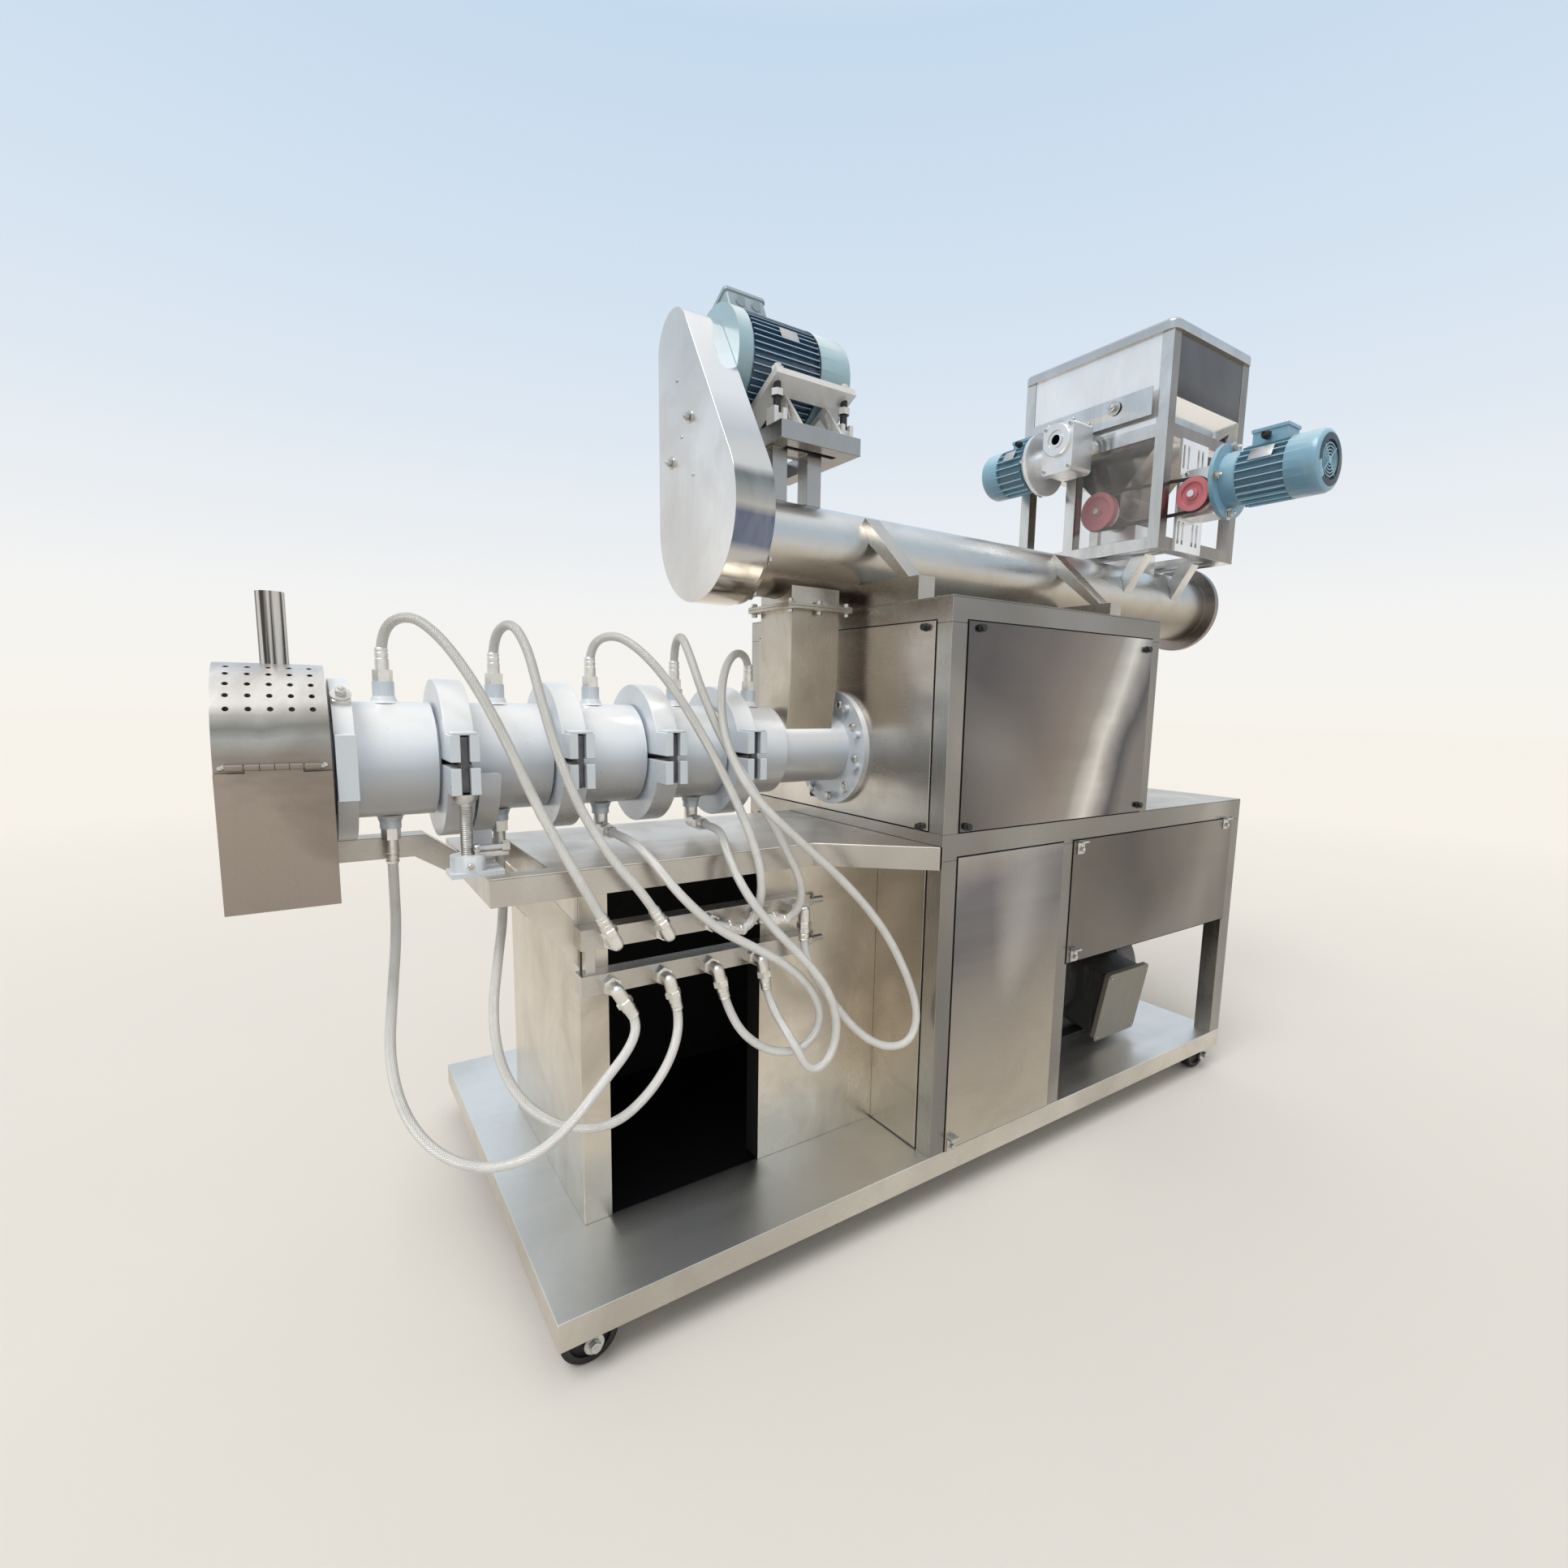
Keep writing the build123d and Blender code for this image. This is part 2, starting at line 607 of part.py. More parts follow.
# Teardrop belt guard: two round ends joined by tangents
with BuildPart() as belt_guard:
    with BuildSketch(across(belt_guard_x[0])):
        with Locations(big_wheel[:2]):
            Circle(big_wheel[2])
        with Locations(small_wheel[:2]):
            Circle(small_wheel[2])
        make_hull()
    extrude(amount=belt_guard_x[1] - belt_guard_x[0])
belt_guard.part.label = "belt_guard"
export_step(belt_guard.part, "parts/belt_guard.step")

# Platform on two legs over the conditioner tube
leg = 38
leg_y = 345
with BuildPart() as motor_platform:
    mid_x = (platform[0][0] + platform[1][0]) / 2
    mid_y = (platform[0][1] + platform[1][1]) / 2
    with BuildSketch(level(platform_z, mid_x, mid_y)):
        Rectangle(platform[1][0] - platform[0][0], platform[1][1] - platform[0][1])
        offset(amount=-leg, mode=Mode.SUBTRACT)
    extrude(amount=platform_height)
    block(platform[0][0] + leg, platform[1][0] - leg, leg_y, leg_y + leg, platform_z,
          platform_z + platform_height)
    for leg_x in (-211, -121):
        block(leg_x, leg_x + leg, leg_y, leg_y + leg, conditioner_z, platform_z)
    rod_x(conditioner_left, 0, conditioner_axis, conditioner_radius, mode=Mode.SUBTRACT)
motor_platform.part.label = "motor_platform"
export_step(motor_platform.part, "parts/motor_platform.step")

# Tilted motor plate on a hinge at the back, held up by two screws at the front
tilt = radians(plate_tilt)
plate_top = Plane(origin=at((platform[0][0] + platform[1][0]) / 2, *plate_near), x_dir=(1, 0, 0),
                  z_dir=(0, sin(tilt), cos(tilt)))
plate_length = 222
plate_thickness = 16
with BuildPart() as motor_plate:
    with BuildSketch(plate_top.offset(-plate_thickness)):
        with Locations((0, plate_length / 2)):
            Rectangle(208, plate_length)
            Rectangle(120, plate_length - 110, mode=Mode.SUBTRACT)
    extrude(amount=plate_thickness)
    platform_top = platform_z + platform_height
    plate_end_y = plate_near[0] + plate_length * cos(tilt)
    plate_end_z = plate_near[1] - plate_length * sin(tilt)
    for link_x in (-176, -70):
        with BuildSketch(across(link_x)):
            with BuildLine():
                Polyline((plate_near[0] + 40, plate_near[1] - 34), (plate_near[0] + 68, plate_near[1] - 47),
                         (plate_near[0] + 8, platform_top), (plate_near[0] - 24, platform_top), close=True)
            make_face()
            with Locations((plate_near[0] + 24, (plate_near[1] + platform_top) / 2 - 16)):
                Rectangle(10, 40, rotation=-28, mode=Mode.SUBTRACT)
        extrude(amount=8)
    for bracket_x in (-214, -52):
        block(bracket_x, bracket_x + 26, plate_end_y - 36, plate_end_y - 8, platform_top, plate_end_z - 4)
    for screw_x in (-208, -32):
        screw_y = plate_near[0] + 18
        rod((screw_x, screw_y, platform_top), (screw_x, screw_y, plate_near[1] + 12), 8)
        nut((screw_x, screw_y, plate_near[1] - 8), (screw_x, screw_y, plate_near[1] + 6), 24)
        nut((screw_x, screw_y, plate_near[1] - 52), (screw_x, screw_y, plate_near[1] - 38), 24)
        for ear_x in (screw_x - 16, screw_x + 6):
            block(ear_x, ear_x + 10, screw_y - 16, screw_y + 16, platform_top, platform_top + 34)
        block(screw_x - 6, screw_x + 6, screw_y - 10, screw_y + 10, platform_top, platform_top + 24)
motor_plate.part.label = "motor_plate"
export_step(motor_plate.part, "parts/motor_plate.step")


def turned(plane, outline, mode=Mode.ADD):
    """Lathe-turned solid on the plane's normal; the outline is (radius, distance) points."""
    section = Plane(origin=plane.origin, x_dir=plane.x_dir, z_dir=plane.x_dir.cross(plane.z_dir))
    with BuildSketch(section) as half:
        with BuildLine():
            Polyline(*outline, close=True)
        make_face()
    revolve(half.sketch, axis=Axis(plane.origin, plane.z_dir), mode=mode)


cowl_edge = 14
grille_depth = 5


def motor_body(plane, shield_radius, body_radius, lengths, fins=24, fin_depth=9):
    """Finned motor along the plane's normal: end shield, ribbed body and fan cowl."""
    shield, body, cowl = lengths
    end = shield + body + cowl
    grille_radius = 0.62 * body_radius
    turned(plane, [(0, 0), (shield_radius, 0), (shield_radius, shield - 6), (shield_radius - 6, shield),
                   (0, shield)])
    with BuildSketch(plane.offset(shield)) as core:
        Circle(body_radius - fin_depth)
        with PolarLocations(body_radius - fin_depth / 2 - 2, fins):
            Rectangle(fin_depth + 4, 2.4)
    extrude(core.sketch, amount=body)
    turned(plane, [(0, shield + body), (body_radius, shield + body), (body_radius, end - cowl_edge),
                   (body_radius - 4, end - 5), (body_radius - cowl_edge, end), (grille_radius, end),
                   (grille_radius, end - grille_depth), (0, end - grille_depth)])


def terminal_box(foot, width, length, height):
    """Box on a motor's back: foot, lid with a lip, and a cable gland at one end."""
    x, y, z = foot
    half = width / 2
    reach = length / 2
    block(x - half, x + half, y - reach, y + reach, z - 30, z + height - 8)
    block(x - half - 3, x + half + 3, y - reach - 3, y + reach + 3, z + height - 8, z + height)
    rod((x - half - 12, y, z + height / 2 - 4), (x - half, y, z + height / 2 - 4), 8)


axis_plane = plate_top.offset(drive_motor_height)
motor_center = axis_plane.from_local_coords(Vector(0, 126, 0))
with BuildPart() as drive_motor:
    front_x = corner_x + belt_guard_x[1]
    motor_plane = Plane(origin=(front_x, motor_center.Y, motor_center.Z), x_dir=(0, 1, 0), z_dir=(1, 0, 0))
    motor_body(motor_plane, 112, 110, (40, 170, 90))
    for foot_v in (-76, 76):
        with BuildSketch(plate_top):
            with Locations((0, 126 + foot_v)):
                Rectangle(140, 40)
        extrude(amount=12)
        with BuildSketch(plate_top):
            with Locations((0, 126 + foot_v)):
                Rectangle(124, 16)
        extrude(amount=70)
    for box_height, box_size, start in ((56, 0, 96), (8, 6, 152)):
        with BuildSketch(axis_plane.offset(start)):
            with Locations((-78, 126)):
                RectangleRounded(100 + box_size, 112 + box_size, 8)
        extrude(amount=box_height)
    for gland_x in (-98, -58):
        gland = axis_plane.offset(128).from_local_coords(Vector(gland_x, 70, 0))
        rod(tuple(gland - at(0, 0, 0)), tuple(gland - at(0, 0, 0) + Vector(0, -7, 0)), 11)
drive_motor.part.label = "drive_motor"
export_step(drive_motor.part, "parts/drive_motor.step")

# Hopper frame of square tube, on slanting legs over the conditioner tube
post = hopper_post
hopper_length = hopper_x[1] - hopper_x[0]
hopper_width = hopper_y[1] - hopper_y[0]
with BuildPart() as hopper_frame:
    for post_x in (hopper_x[0], hopper_x[1] - post):
        for post_y in (hopper_y[0], hopper_y[1] - post):
            block(post_x, post_x + post, post_y, post_y + post, hopper_z[0], hopper_z[1] - 30)
    for rail_z in (hopper_z[0], hopper_mid_z):
        with BuildSketch(level(rail_z, sum(hopper_x) / 2, sum(hopper_y) / 2)):
            Rectangle(hopper_length, hopper_width)
            offset(amount=-post, mode=Mode.SUBTRACT)
        extrude(amount=post)
    block(hopper_x[0], hopper_x[0] + post, 428, 428 + post, hopper_z[0], hopper_mid_z)
    for leg_x in (985, 1240):
        for side in (-1, 1):
            with BuildSketch(across(leg_x)):
                with BuildLine():
                    Polyline((conditioner_y + side * 120, hopper_z[0]),
                             (conditioner_y + side * 165, hopper_z[0]),
                             (conditioner_y + side * 100, conditioner_z),
                             (conditioner_y + side * 60, conditioner_z), close=True)
                make_face()
            extrude(amount=40)
        block(leg_x, leg_x + 40, hopper_y[0], hopper_y[1], hopper_z[0], hopper_z[0] + 8)
    rod((hopper_x[0], conditioner_y, conditioner_z), (hopper_x[1], conditioner_y, conditioner_z),
        conditioner_radius, mode=Mode.SUBTRACT)
hopper_frame.part.label = "hopper_frame"
export_step(hopper_frame.part, "parts/hopper_frame.step")

with BuildPart() as hopper_rim:
    with BuildSketch(level(hopper_z[1] - 30, sum(hopper_x) / 2, sum(hopper_y) / 2)):
        RectangleRounded(hopper_length + 16, hopper_width + 16, 26)
        RectangleRounded(hopper_length - 60, hopper_width - 60, 10, mode=Mode.SUBTRACT)
    extrude(amount=30)
    fillet(hopper_rim.faces().sort_by(Axis.Z)[-1].outer_wire().edges(), radius=12)
hopper_rim.part.label = "hopper_rim"
export_step(hopper_rim.part, "parts/hopper_rim.step")

# Hopper walls: straight above the middle rail, then two slopes down to a round trough
wall = 2
trough_radius = 44
inner_x = (hopper_x[0] + post, hopper_x[1] - post)
inner_y = (hopper_y[0] + post, hopper_y[1] - post)
slope_z = 1835
trough_x = (inner_x[0] + 60, inner_x[1] - 60)
shelf_z = 1760
face_x = (hopper_x[0] + wall, hopper_x[1] - wall)
face_y = (hopper_y[0] + wall, hopper_y[1] - wall)
bin_x = (face_x[0] + wall, face_x[1] - wall)


def trough_section(inset, mode=Mode.ADD):
    """Section of the hopper's lower part: two slopes down to a round trough."""
    half = trough_radius - inset
    with BuildLine() as slopes:
        Polyline((face_y[0] + 1.5 * inset, slope_z), (face_y[1] - 1.5 * inset, slope_z),
                 (feeder_y + half, feeder_z + 50), (feeder_y + half, feeder_z), (feeder_y - half, feeder_z),
                 (feeder_y - half, feeder_z + 50), close=True)
    make_face(slopes.edges(), mode=mode)
    with Locations((feeder_y, feeder_z)):
        Circle(half, mode=mode)


with BuildPart() as trough_ends:
    for outer, inner, side in ((bin_x[0], trough_x[0], 1), (bin_x[1], trough_x[1], -1)):
        with BuildSketch(facing(face_y[0])) as profile:
            with BuildLine():
                Polyline((outer, slope_z), (inner, shelf_z), (inner, feeder_z - trough_radius),
                         (inner + side * wall, feeder_z - trough_radius),
                         (inner + side * wall, shelf_z + wall),
                         (outer, slope_z + wall), close=True)
            make_face()
        extrude(profile.sketch, amount=-(face_y[1] - face_y[0]))
    with BuildSketch(across(bin_x[0])) as inside:
        trough_section(wall / 2)
    extrude(inside.sketch, amount=bin_x[1] - bin_x[0], mode=Mode.INTERSECT)

with BuildPart() as hopper_bin:
    with BuildSketch(across(bin_x[0])) as trough:
        trough_section(0)
        trough_section(wall, mode=Mode.SUBTRACT)
    extrude(trough.sketch, amount=bin_x[1] - bin_x[0])
    for outer, inner in zip(bin_x, trough_x):
        with BuildSketch(facing(face_y[0] - 5)) as below:
            with BuildLine():
                Polyline((outer, slope_z), (inner, shelf_z), (inner, hopper_z[0]), (outer, hopper_z[0]),
                         close=True)
            make_face()
        extrude(below.sketch, amount=-(face_y[1] - face_y[0] + 10), mode=Mode.SUBTRACT)
    add(trough_ends.part)
    for post_x in (hopper_x[0], hopper_x[1] - post):
        for post_y in (hopper_y[0], hopper_y[1] - post):
            block(post_x, post_x + post, post_y, post_y + post, *hopper_z, mode=Mode.SUBTRACT)
hopper_bin.part.label = "hopper_bin"
export_step(hopper_bin.part, "parts/hopper_bin.step")

# Upper walls, with a plate held off the left one by two bolts
bolt_z = 1834
with BuildPart() as hopper_walls:
    for wall_x in (face_x[0], face_x[1] - wall):
        block(wall_x, wall_x + wall, inner_y[0], inner_y[1], hopper_mid_z + post, hopper_z[1] - 30)
    for wall_y in (face_y[0], face_y[1] - wall):
        block(inner_x[0], inner_x[1], wall_y, wall_y + wall, slope_z, hopper_z[1] - 30)
    block(face_x[0] - 19, face_x[0] - 16, 186, 600, bolt_z - 46, bolt_z + 28)
    for bolt_y in (300, 486):
        rod((face_x[0] - 24, bolt_y, bolt_z), (face_x[0], bolt_y, bolt_z), 7)
hopper_walls.part.label = "hopper_walls"
export_step(hopper_walls.part, "parts/hopper_walls.step")

with BuildPart() as hopper_throat:
    block(1090, 1210, feeder_y - 60, feeder_y + 60, conditioner_z + 60, feeder_z - trough_radius + 12)
    rod_x(hopper_x[0], hopper_x[1], conditioner_axis, conditioner_radius, mode=Mode.SUBTRACT)
    rod_x(hopper_x[0], hopper_x[1], feeder_axis, trough_radius, mode=Mode.SUBTRACT)
hopper_throat.part.label = "hopper_throat"
export_step(hopper_throat.part, "parts/hopper_throat.step")

with BuildPart() as hopper_window:
    block(hopper_x[0] + 4, hopper_x[0] + 8, hopper_y[0] + post, 428, hopper_z[0] + post, hopper_mid_z)
hopper_window.part.label = "hopper_window"
export_step(hopper_window.part, "parts/hopper_window.step")

# Worm gear and motor that turn the agitator, on the hopper's left side
agitator_y = 395
agitator_z = 1748
with BuildPart() as agitator_drive:
    with BuildSketch(across(790, agitator_y, agitator_z - 21)) as housing:
        RectangleRounded(104, 138, 12)
    extrude(housing.sketch, amount=90)
    shaft_axis = across(hopper_x[0], agitator_y, agitator_z)
    reach = hopper_x[0] - 780
    turned(shaft_axis, [(0, 0), (30, 0), (30, -16), (36, -16), (36, -28), (46, -28), (46, -48), (38, -52),
                        (0, -52)])
    turned(shaft_axis, [(0, -140), (46, -140), (46, -reach + 3), (43, -reach), (27, -reach),
                        (27, -reach + 4), (21, -reach + 4), (21, -reach), (0, -reach)])
    rod((778, agitator_y, agitator_z), (840, agitator_y, agitator_z), 14, mode=Mode.SUBTRACT)
    flange_plane = Plane(origin=at(838, agitator_y + 52, agitator_z - 40), x_dir=(1, 0, 0), z_dir=(0, 1, 0))
    with BuildSketch(flange_plane) as neck:
        Circle(42)
    extrude(neck.sketch, amount=26)
    with BuildSketch(flange_plane.offset(26)) as disc:
        Circle(90)
    extrude(disc.sketch, amount=12)
    motor_body(flange_plane.offset(38), 66, 70, (30, 90, 66), fins=20, fin_depth=7)
    terminal_box((838, agitator_y + 146, agitator_z + 16), 50, 74, 30)
agitator_drive.part.label = "agitator_drive"
export_step(agitator_drive.part, "parts/agitator_drive.step")

# Worm gear and motor that turn the feed screw through a belt, on the front of the frame
feeder_gear_x = 1060
gear_half = 44
gear_front = drive_pulley[0] - 48
gear_back = hopper_y[0] - 8
with BuildPart() as feeder_drive:
    gear_middle = (gear_front + gear_back) / 2
    with BuildSketch(across(feeder_gear_x - gear_half, gear_middle, drive_pulley[1] + 12)) as housing:
        RectangleRounded(gear_back - gear_front, 128, 12)
    extrude(housing.sketch, amount=2 * gear_half)
    turned(across(feeder_gear_x - gear_half, *drive_pulley[:2]),
           [(0, 0), (42, 0), (42, -9), (38, -12), (24, -12), (24, -8), (18, -8), (18, -12), (0, -12)])
    block(feeder_gear_x - 60, feeder_gear_x + 75, gear_back, hopper_y[0], hopper_z[0], hopper_mid_z)
    for slot_x in (-48, -26, 26, 48):
        for slot_z in (1652, 1448):
            block(feeder_gear_x + slot_x - 5, feeder_gear_x + slot_x + 5, hopper_y[0] - 9, hopper_y[0] + 1,
                  slot_z, slot_z + 62, mode=Mode.SUBTRACT)
    rod_x(pulley_x - 8, feeder_gear_x - gear_half, drive_pulley[:2], 9)
    motor_plane = facing(gear_front, feeder_gear_x, drive_pulley[1] + 34)
    with BuildSketch(motor_plane) as disc:
        Circle(99)
    extrude(disc.sketch, amount=12)
    cowl_length = gear_front - 12 - 44 - 118 - feeder_motor_front
    motor_body(motor_plane.offset(12), 72, 77, (44, 118, cowl_length), fin_depth=8)
    terminal_box((feeder_gear_x, -78, drive_pulley[1] + 100), 62, 84, 42)
feeder_drive.part.label = "feeder_drive"
export_step(feeder_drive.part, "parts/feeder_drive.step")

with BuildPart() as feeder_shaft:
    rod_x(pulley_x - 8, inner_x[0] + 60, feeder_axis, 9)
    rod_x(inner_x[0] + 48, inner_x[0] + 60, feeder_axis, trough_radius)
feeder_shaft.part.label = "feeder_shaft"
export_step(feeder_shaft.part, "parts/feeder_shaft.step")

groove = 6
groove_width = 14
driven_pulley = (*feeder_axis, driven_pulley_radius)
for pulley_name, pulley_spot in (("drive_pulley", drive_pulley), ("driven_pulley", driven_pulley)):
    with BuildPart() as pulley:
        rod_x(pulley_x, pulley_x + pulley_width, pulley_spot[:2], pulley_spot[2])
        with BuildSketch(across(pulley_x + (pulley_width - groove_width) / 2, *pulley_spot[:2])):
            Circle(pulley_spot[2] + 1)
            Circle(pulley_spot[2] - groove, mode=Mode.SUBTRACT)
        extrude(amount=groove_width, mode=Mode.SUBTRACT)
        with BuildSketch(across(pulley_x, *pulley_spot[:2])):
            Circle(pulley_spot[2] - 14)
            Circle(15, mode=Mode.SUBTRACT)
        extrude(amount=7, mode=Mode.SUBTRACT)
        rod_x(pulley_x - 1, pulley_x + pulley_width + 1, pulley_spot[:2], 9 + running_gap,
              mode=Mode.SUBTRACT)
    pulley.part.label = pulley_name
    export_step(pulley.part, f"parts/{pulley_name}.step")

belt_gap = 0.4
belt_height = 8
with BuildPart() as feeder_belt:
    with BuildSketch(across(pulley_x + pulley_width / 2 - 5)):
        with Locations(drive_pulley[:2]):
            Circle(drive_pulley[2] - groove + belt_gap + belt_height)
        with Locations((feeder_y, feeder_z)):
            Circle(driven_pulley_radius - groove + belt_gap + belt_height)
        make_hull()
    extrude(amount=10)
    with BuildSketch(across(pulley_x + pulley_width / 2 - 5)):
        with Locations(drive_pulley[:2]):
            Circle(drive_pulley[2] - groove + belt_gap)
        with Locations((feeder_y, feeder_z)):
            Circle(driven_pulley_radius - groove + belt_gap)
        make_hull()
    extrude(amount=10, mode=Mode.SUBTRACT)
feeder_belt.part.label = "feeder_belt"
export_step(feeder_belt.part, "parts/feeder_belt.step")

# Water manifolds: two square tubes with a strut between them
half_bar = 19
with BuildPart() as manifolds:
    for bar_z in (upper_manifold_z, lower_manifold_z):
        block(*manifold_x, *manifold_y, bar_z - half_bar, bar_z + half_bar)
        rod((manifold_x[1], 181, bar_z), (manifold_x[1] + 44, 181, bar_z), 7)
        nut((manifold_x[1], 181, bar_z), (manifold_x[1] + 14, 181, bar_z), 22)
    block(manifold_x[0] + 10, manifold_x[0] + 28, 170, 190, lower_manifold_z + half_bar,
          upper_manifold_z - half_bar)
manifolds.part.label = "manifolds"
export_step(manifolds.part, "parts/manifolds.step")

# Hose ends: straight nuts on the barrel, elbows on the manifolds, turned towards each hose
upper_angles = (-27, -30, 105, 100, 180)
lower_angles = (150, 165, 165, 170)


def elbow_tip(port, bar_z, angle, beyond=0):
    """Centre of a port's elbow end, or a point straight beyond it."""
    turn = radians(angle)
    reach = fitting_reach + beyond
    return (port_stations[port] + reach * sin(turn), fitting_y, bar_z + reach * cos(turn))


def elbow_run(port, bar_z, angle, beyond):
    """Last straight stretch of a hose, in line with the elbow that it enters."""
    return elbow_tip(port, bar_z, angle, beyond), elbow_tip(port, bar_z, angle)


def into_upper(port, beyond):
    """Last stretch of a hose that enters the upper manifold."""
    return elbow_run(port, upper_manifold_z, upper_angles[port], beyond)


def into_lower(port, beyond):
    """Last stretch of a hose that enters the lower manifold."""
    return elbow_run(port, lower_manifold_z, lower_angles[port], beyond)


with BuildPart() as hose_fittings:
    for station in nozzle_stations:
        nut((station, barrel_y, barrel_z + 132), (station, barrel_y, barrel_z + 152), 27)
        rod((station, barrel_y, barrel_z + 152), (station, barrel_y, barrel_z + 170), 11)
    for station in bottom_stations[:2]:
        nut((station, barrel_y, barrel_z - 120), (station, barrel_y, barrel_z - 140), 27)
        rod((station, barrel_y, barrel_z - 140), (station, barrel_y, barrel_z - 164), 11)
    for station in bottom_stations[2:]:
        rod((station, barrel_y, barrel_z - 120), (station, barrel_y, barrel_z - 150), 14)
        rod((station, barrel_y, barrel_z - 150), (station, barrel_y - 34, barrel_z - 150), 14)
        nut((station, barrel_y - 34, barrel_z - 150), (station, barrel_y - 52, barrel_z - 150), 27)
    for bar_z, angles in ((upper_manifold_z, upper_angles), (lower_manifold_z, lower_angles)):
        for port, angle in enumerate(angles):
            station = port_stations[port]
            nut((station, manifold_y[0], bar_z), (station, manifold_y[0] - 22, bar_z), 30)
            rod((station, manifold_y[0] - 22, bar_z), (station, fitting_y, bar_z), 12)
            rod((station, fitting_y, bar_z), elbow_tip(port, bar_z, angle), 12)
            with Locations(at(station, fitting_y, bar_z)):
                Sphere(12)
hose_fittings.part.label = "hose_fittings"
export_step(hose_fittings.part, "parts/hose_fittings.step")

# Braided hoses between the barrel jackets and the manifolds
top_exit = barrel_z + 170
bottom_exit = barrel_z - 164
side_exit = (barrel_y - 52, barrel_z - 150)
routes = {
    "hose_top_1": [
        (-963, 380, top_exit), (-963, 380, 1096), (-925, 338, 1122), (-885, 290, 1085), (-845, 238, 1010),
        (-808, 190, 915), (-776, 158, 820), (-738, 134, 733), *into_upper(0, 50)],
    "hose_top_2": [
        (-784, 380, top_exit), (-784, 380, 1094), (-762, 336, 1122), (-748, 282, 1075), (-742, 232, 990),
        (-730, 190, 900), (-704, 158, 805), (-656, 130, 712), *into_upper(1, 48)],
    "hose_top_3": [
        (-605, 380, top_exit), (-605, 380, 1090), (-570, 340, 1112), (-530, 288, 1075), (-488, 232, 1000),
        (-450, 178, 905), (-418, 132, 810), (-388, 102, 715), (-374, 92, 630), *into_upper(2, 30)],
    "hose_top_4": [
        (-426, 380, top_exit), (-426, 380, 1094), (-432, 334, 1120), (-436, 282, 1072), (-434, 225, 990),
        (-412, 172, 895), (-368, 124, 800), (-322, 96, 705), (-284, 86, 620), *into_upper(3, 30)],
    "hose_top_5": [
        (-247, 380, top_exit), (-247, 380, 1078), (-296, 346, 1092), (-356, 288, 1053), (-410, 204, 981),
        (-428, 143, 896), (-400, 88, 808), (-312, 64, 723), (-205, 54, 630), (-118, 40, 530), (-58, 32, 425),
        (-22, 28, 330), (-40, 30, 268), (-95, 44, 262), (-155, 64, 300), (-208, 86, 372), *into_upper(4, 60)],
    "hose_bottom_1": [
        (-963, 380, bottom_exit), (-963, 380, 652), (-966, 350, 575), (-982, 300, 480), (-996, 256, 390),
        (-984, 208, 310), (-944, 160, 252), (-880, 120, 226), (-812, 92, 238), (-752, 78, 284),
        (-700, 78, 340), (-640, 96, 384), *into_lower(0, 32)],
    "hose_bottom_2": [
        (-784, 380, bottom_exit), (-784, 380, 664), (-790, 338, 592), (-815, 282, 520), (-836, 245, 430),
        (-832, 208, 345), (-796, 168, 278), (-735, 130, 242), (-668, 102, 245), (-610, 88, 292),
        (-566, 88, 350), *into_lower(1, 40)],
    "hose_bottom_3": [
        (-589, *side_exit), (-589, 262, 726), (-586, 202, 722), (-575, 150, 700), (-540, 112, 640),
        (-480, 84, 575), (-405, 66, 530), (-330, 58, 480), (-272, 58, 415), (-254, 62, 350), (-290, 72, 298),
        (-350, 88, 300), (-412, 98, 346), *into_lower(2, 40)],
    "hose_bottom_4": [
        (-388, *side_exit), (-388, 262, 726), (-404, 204, 722), (-424, 150, 702), (-418, 100, 640),
        (-375, 66, 568), (-310, 44, 498), (-256, 34, 425), (-234, 32, 345), (-254, 36, 278), (-300, 38, 268),
        (-328, 50, 330), *into_lower(3, 46)],
}

for hose_name, route in routes.items():
    points = [at(*point) for point in route]
    runs = [after - before for before, after in zip(points, points[1:])]
    radii = [0.45 * min(before.length, after.length) / tan(radians(before.get_angle(after)) / 2)
             for before, after in zip(runs, runs[1:])]
    with BuildPart() as hose:
        with BuildLine() as hose_path:
            FilletPolyline(*points, radius=radii)
        with BuildSketch(Plane(origin=points[0], z_dir=runs[0])):
            Circle(hose_radius)
        sweep()
    print(hose_name, "length", round(hose_path.wire().length), "radii", [round(radius) for radius in radii],
          "runs", [round(run.length) for run in runs],
          "volume ratio", round(hose.part.volume / (hose_path.wire().length * 3.14159 * hose_radius ** 2), 3))
    hose.part.label = hose_name
    export_step(hose.part, f"parts/{hose_name}.step")
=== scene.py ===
import math
import bmesh
import bpy
from mathutils import Matrix, Vector


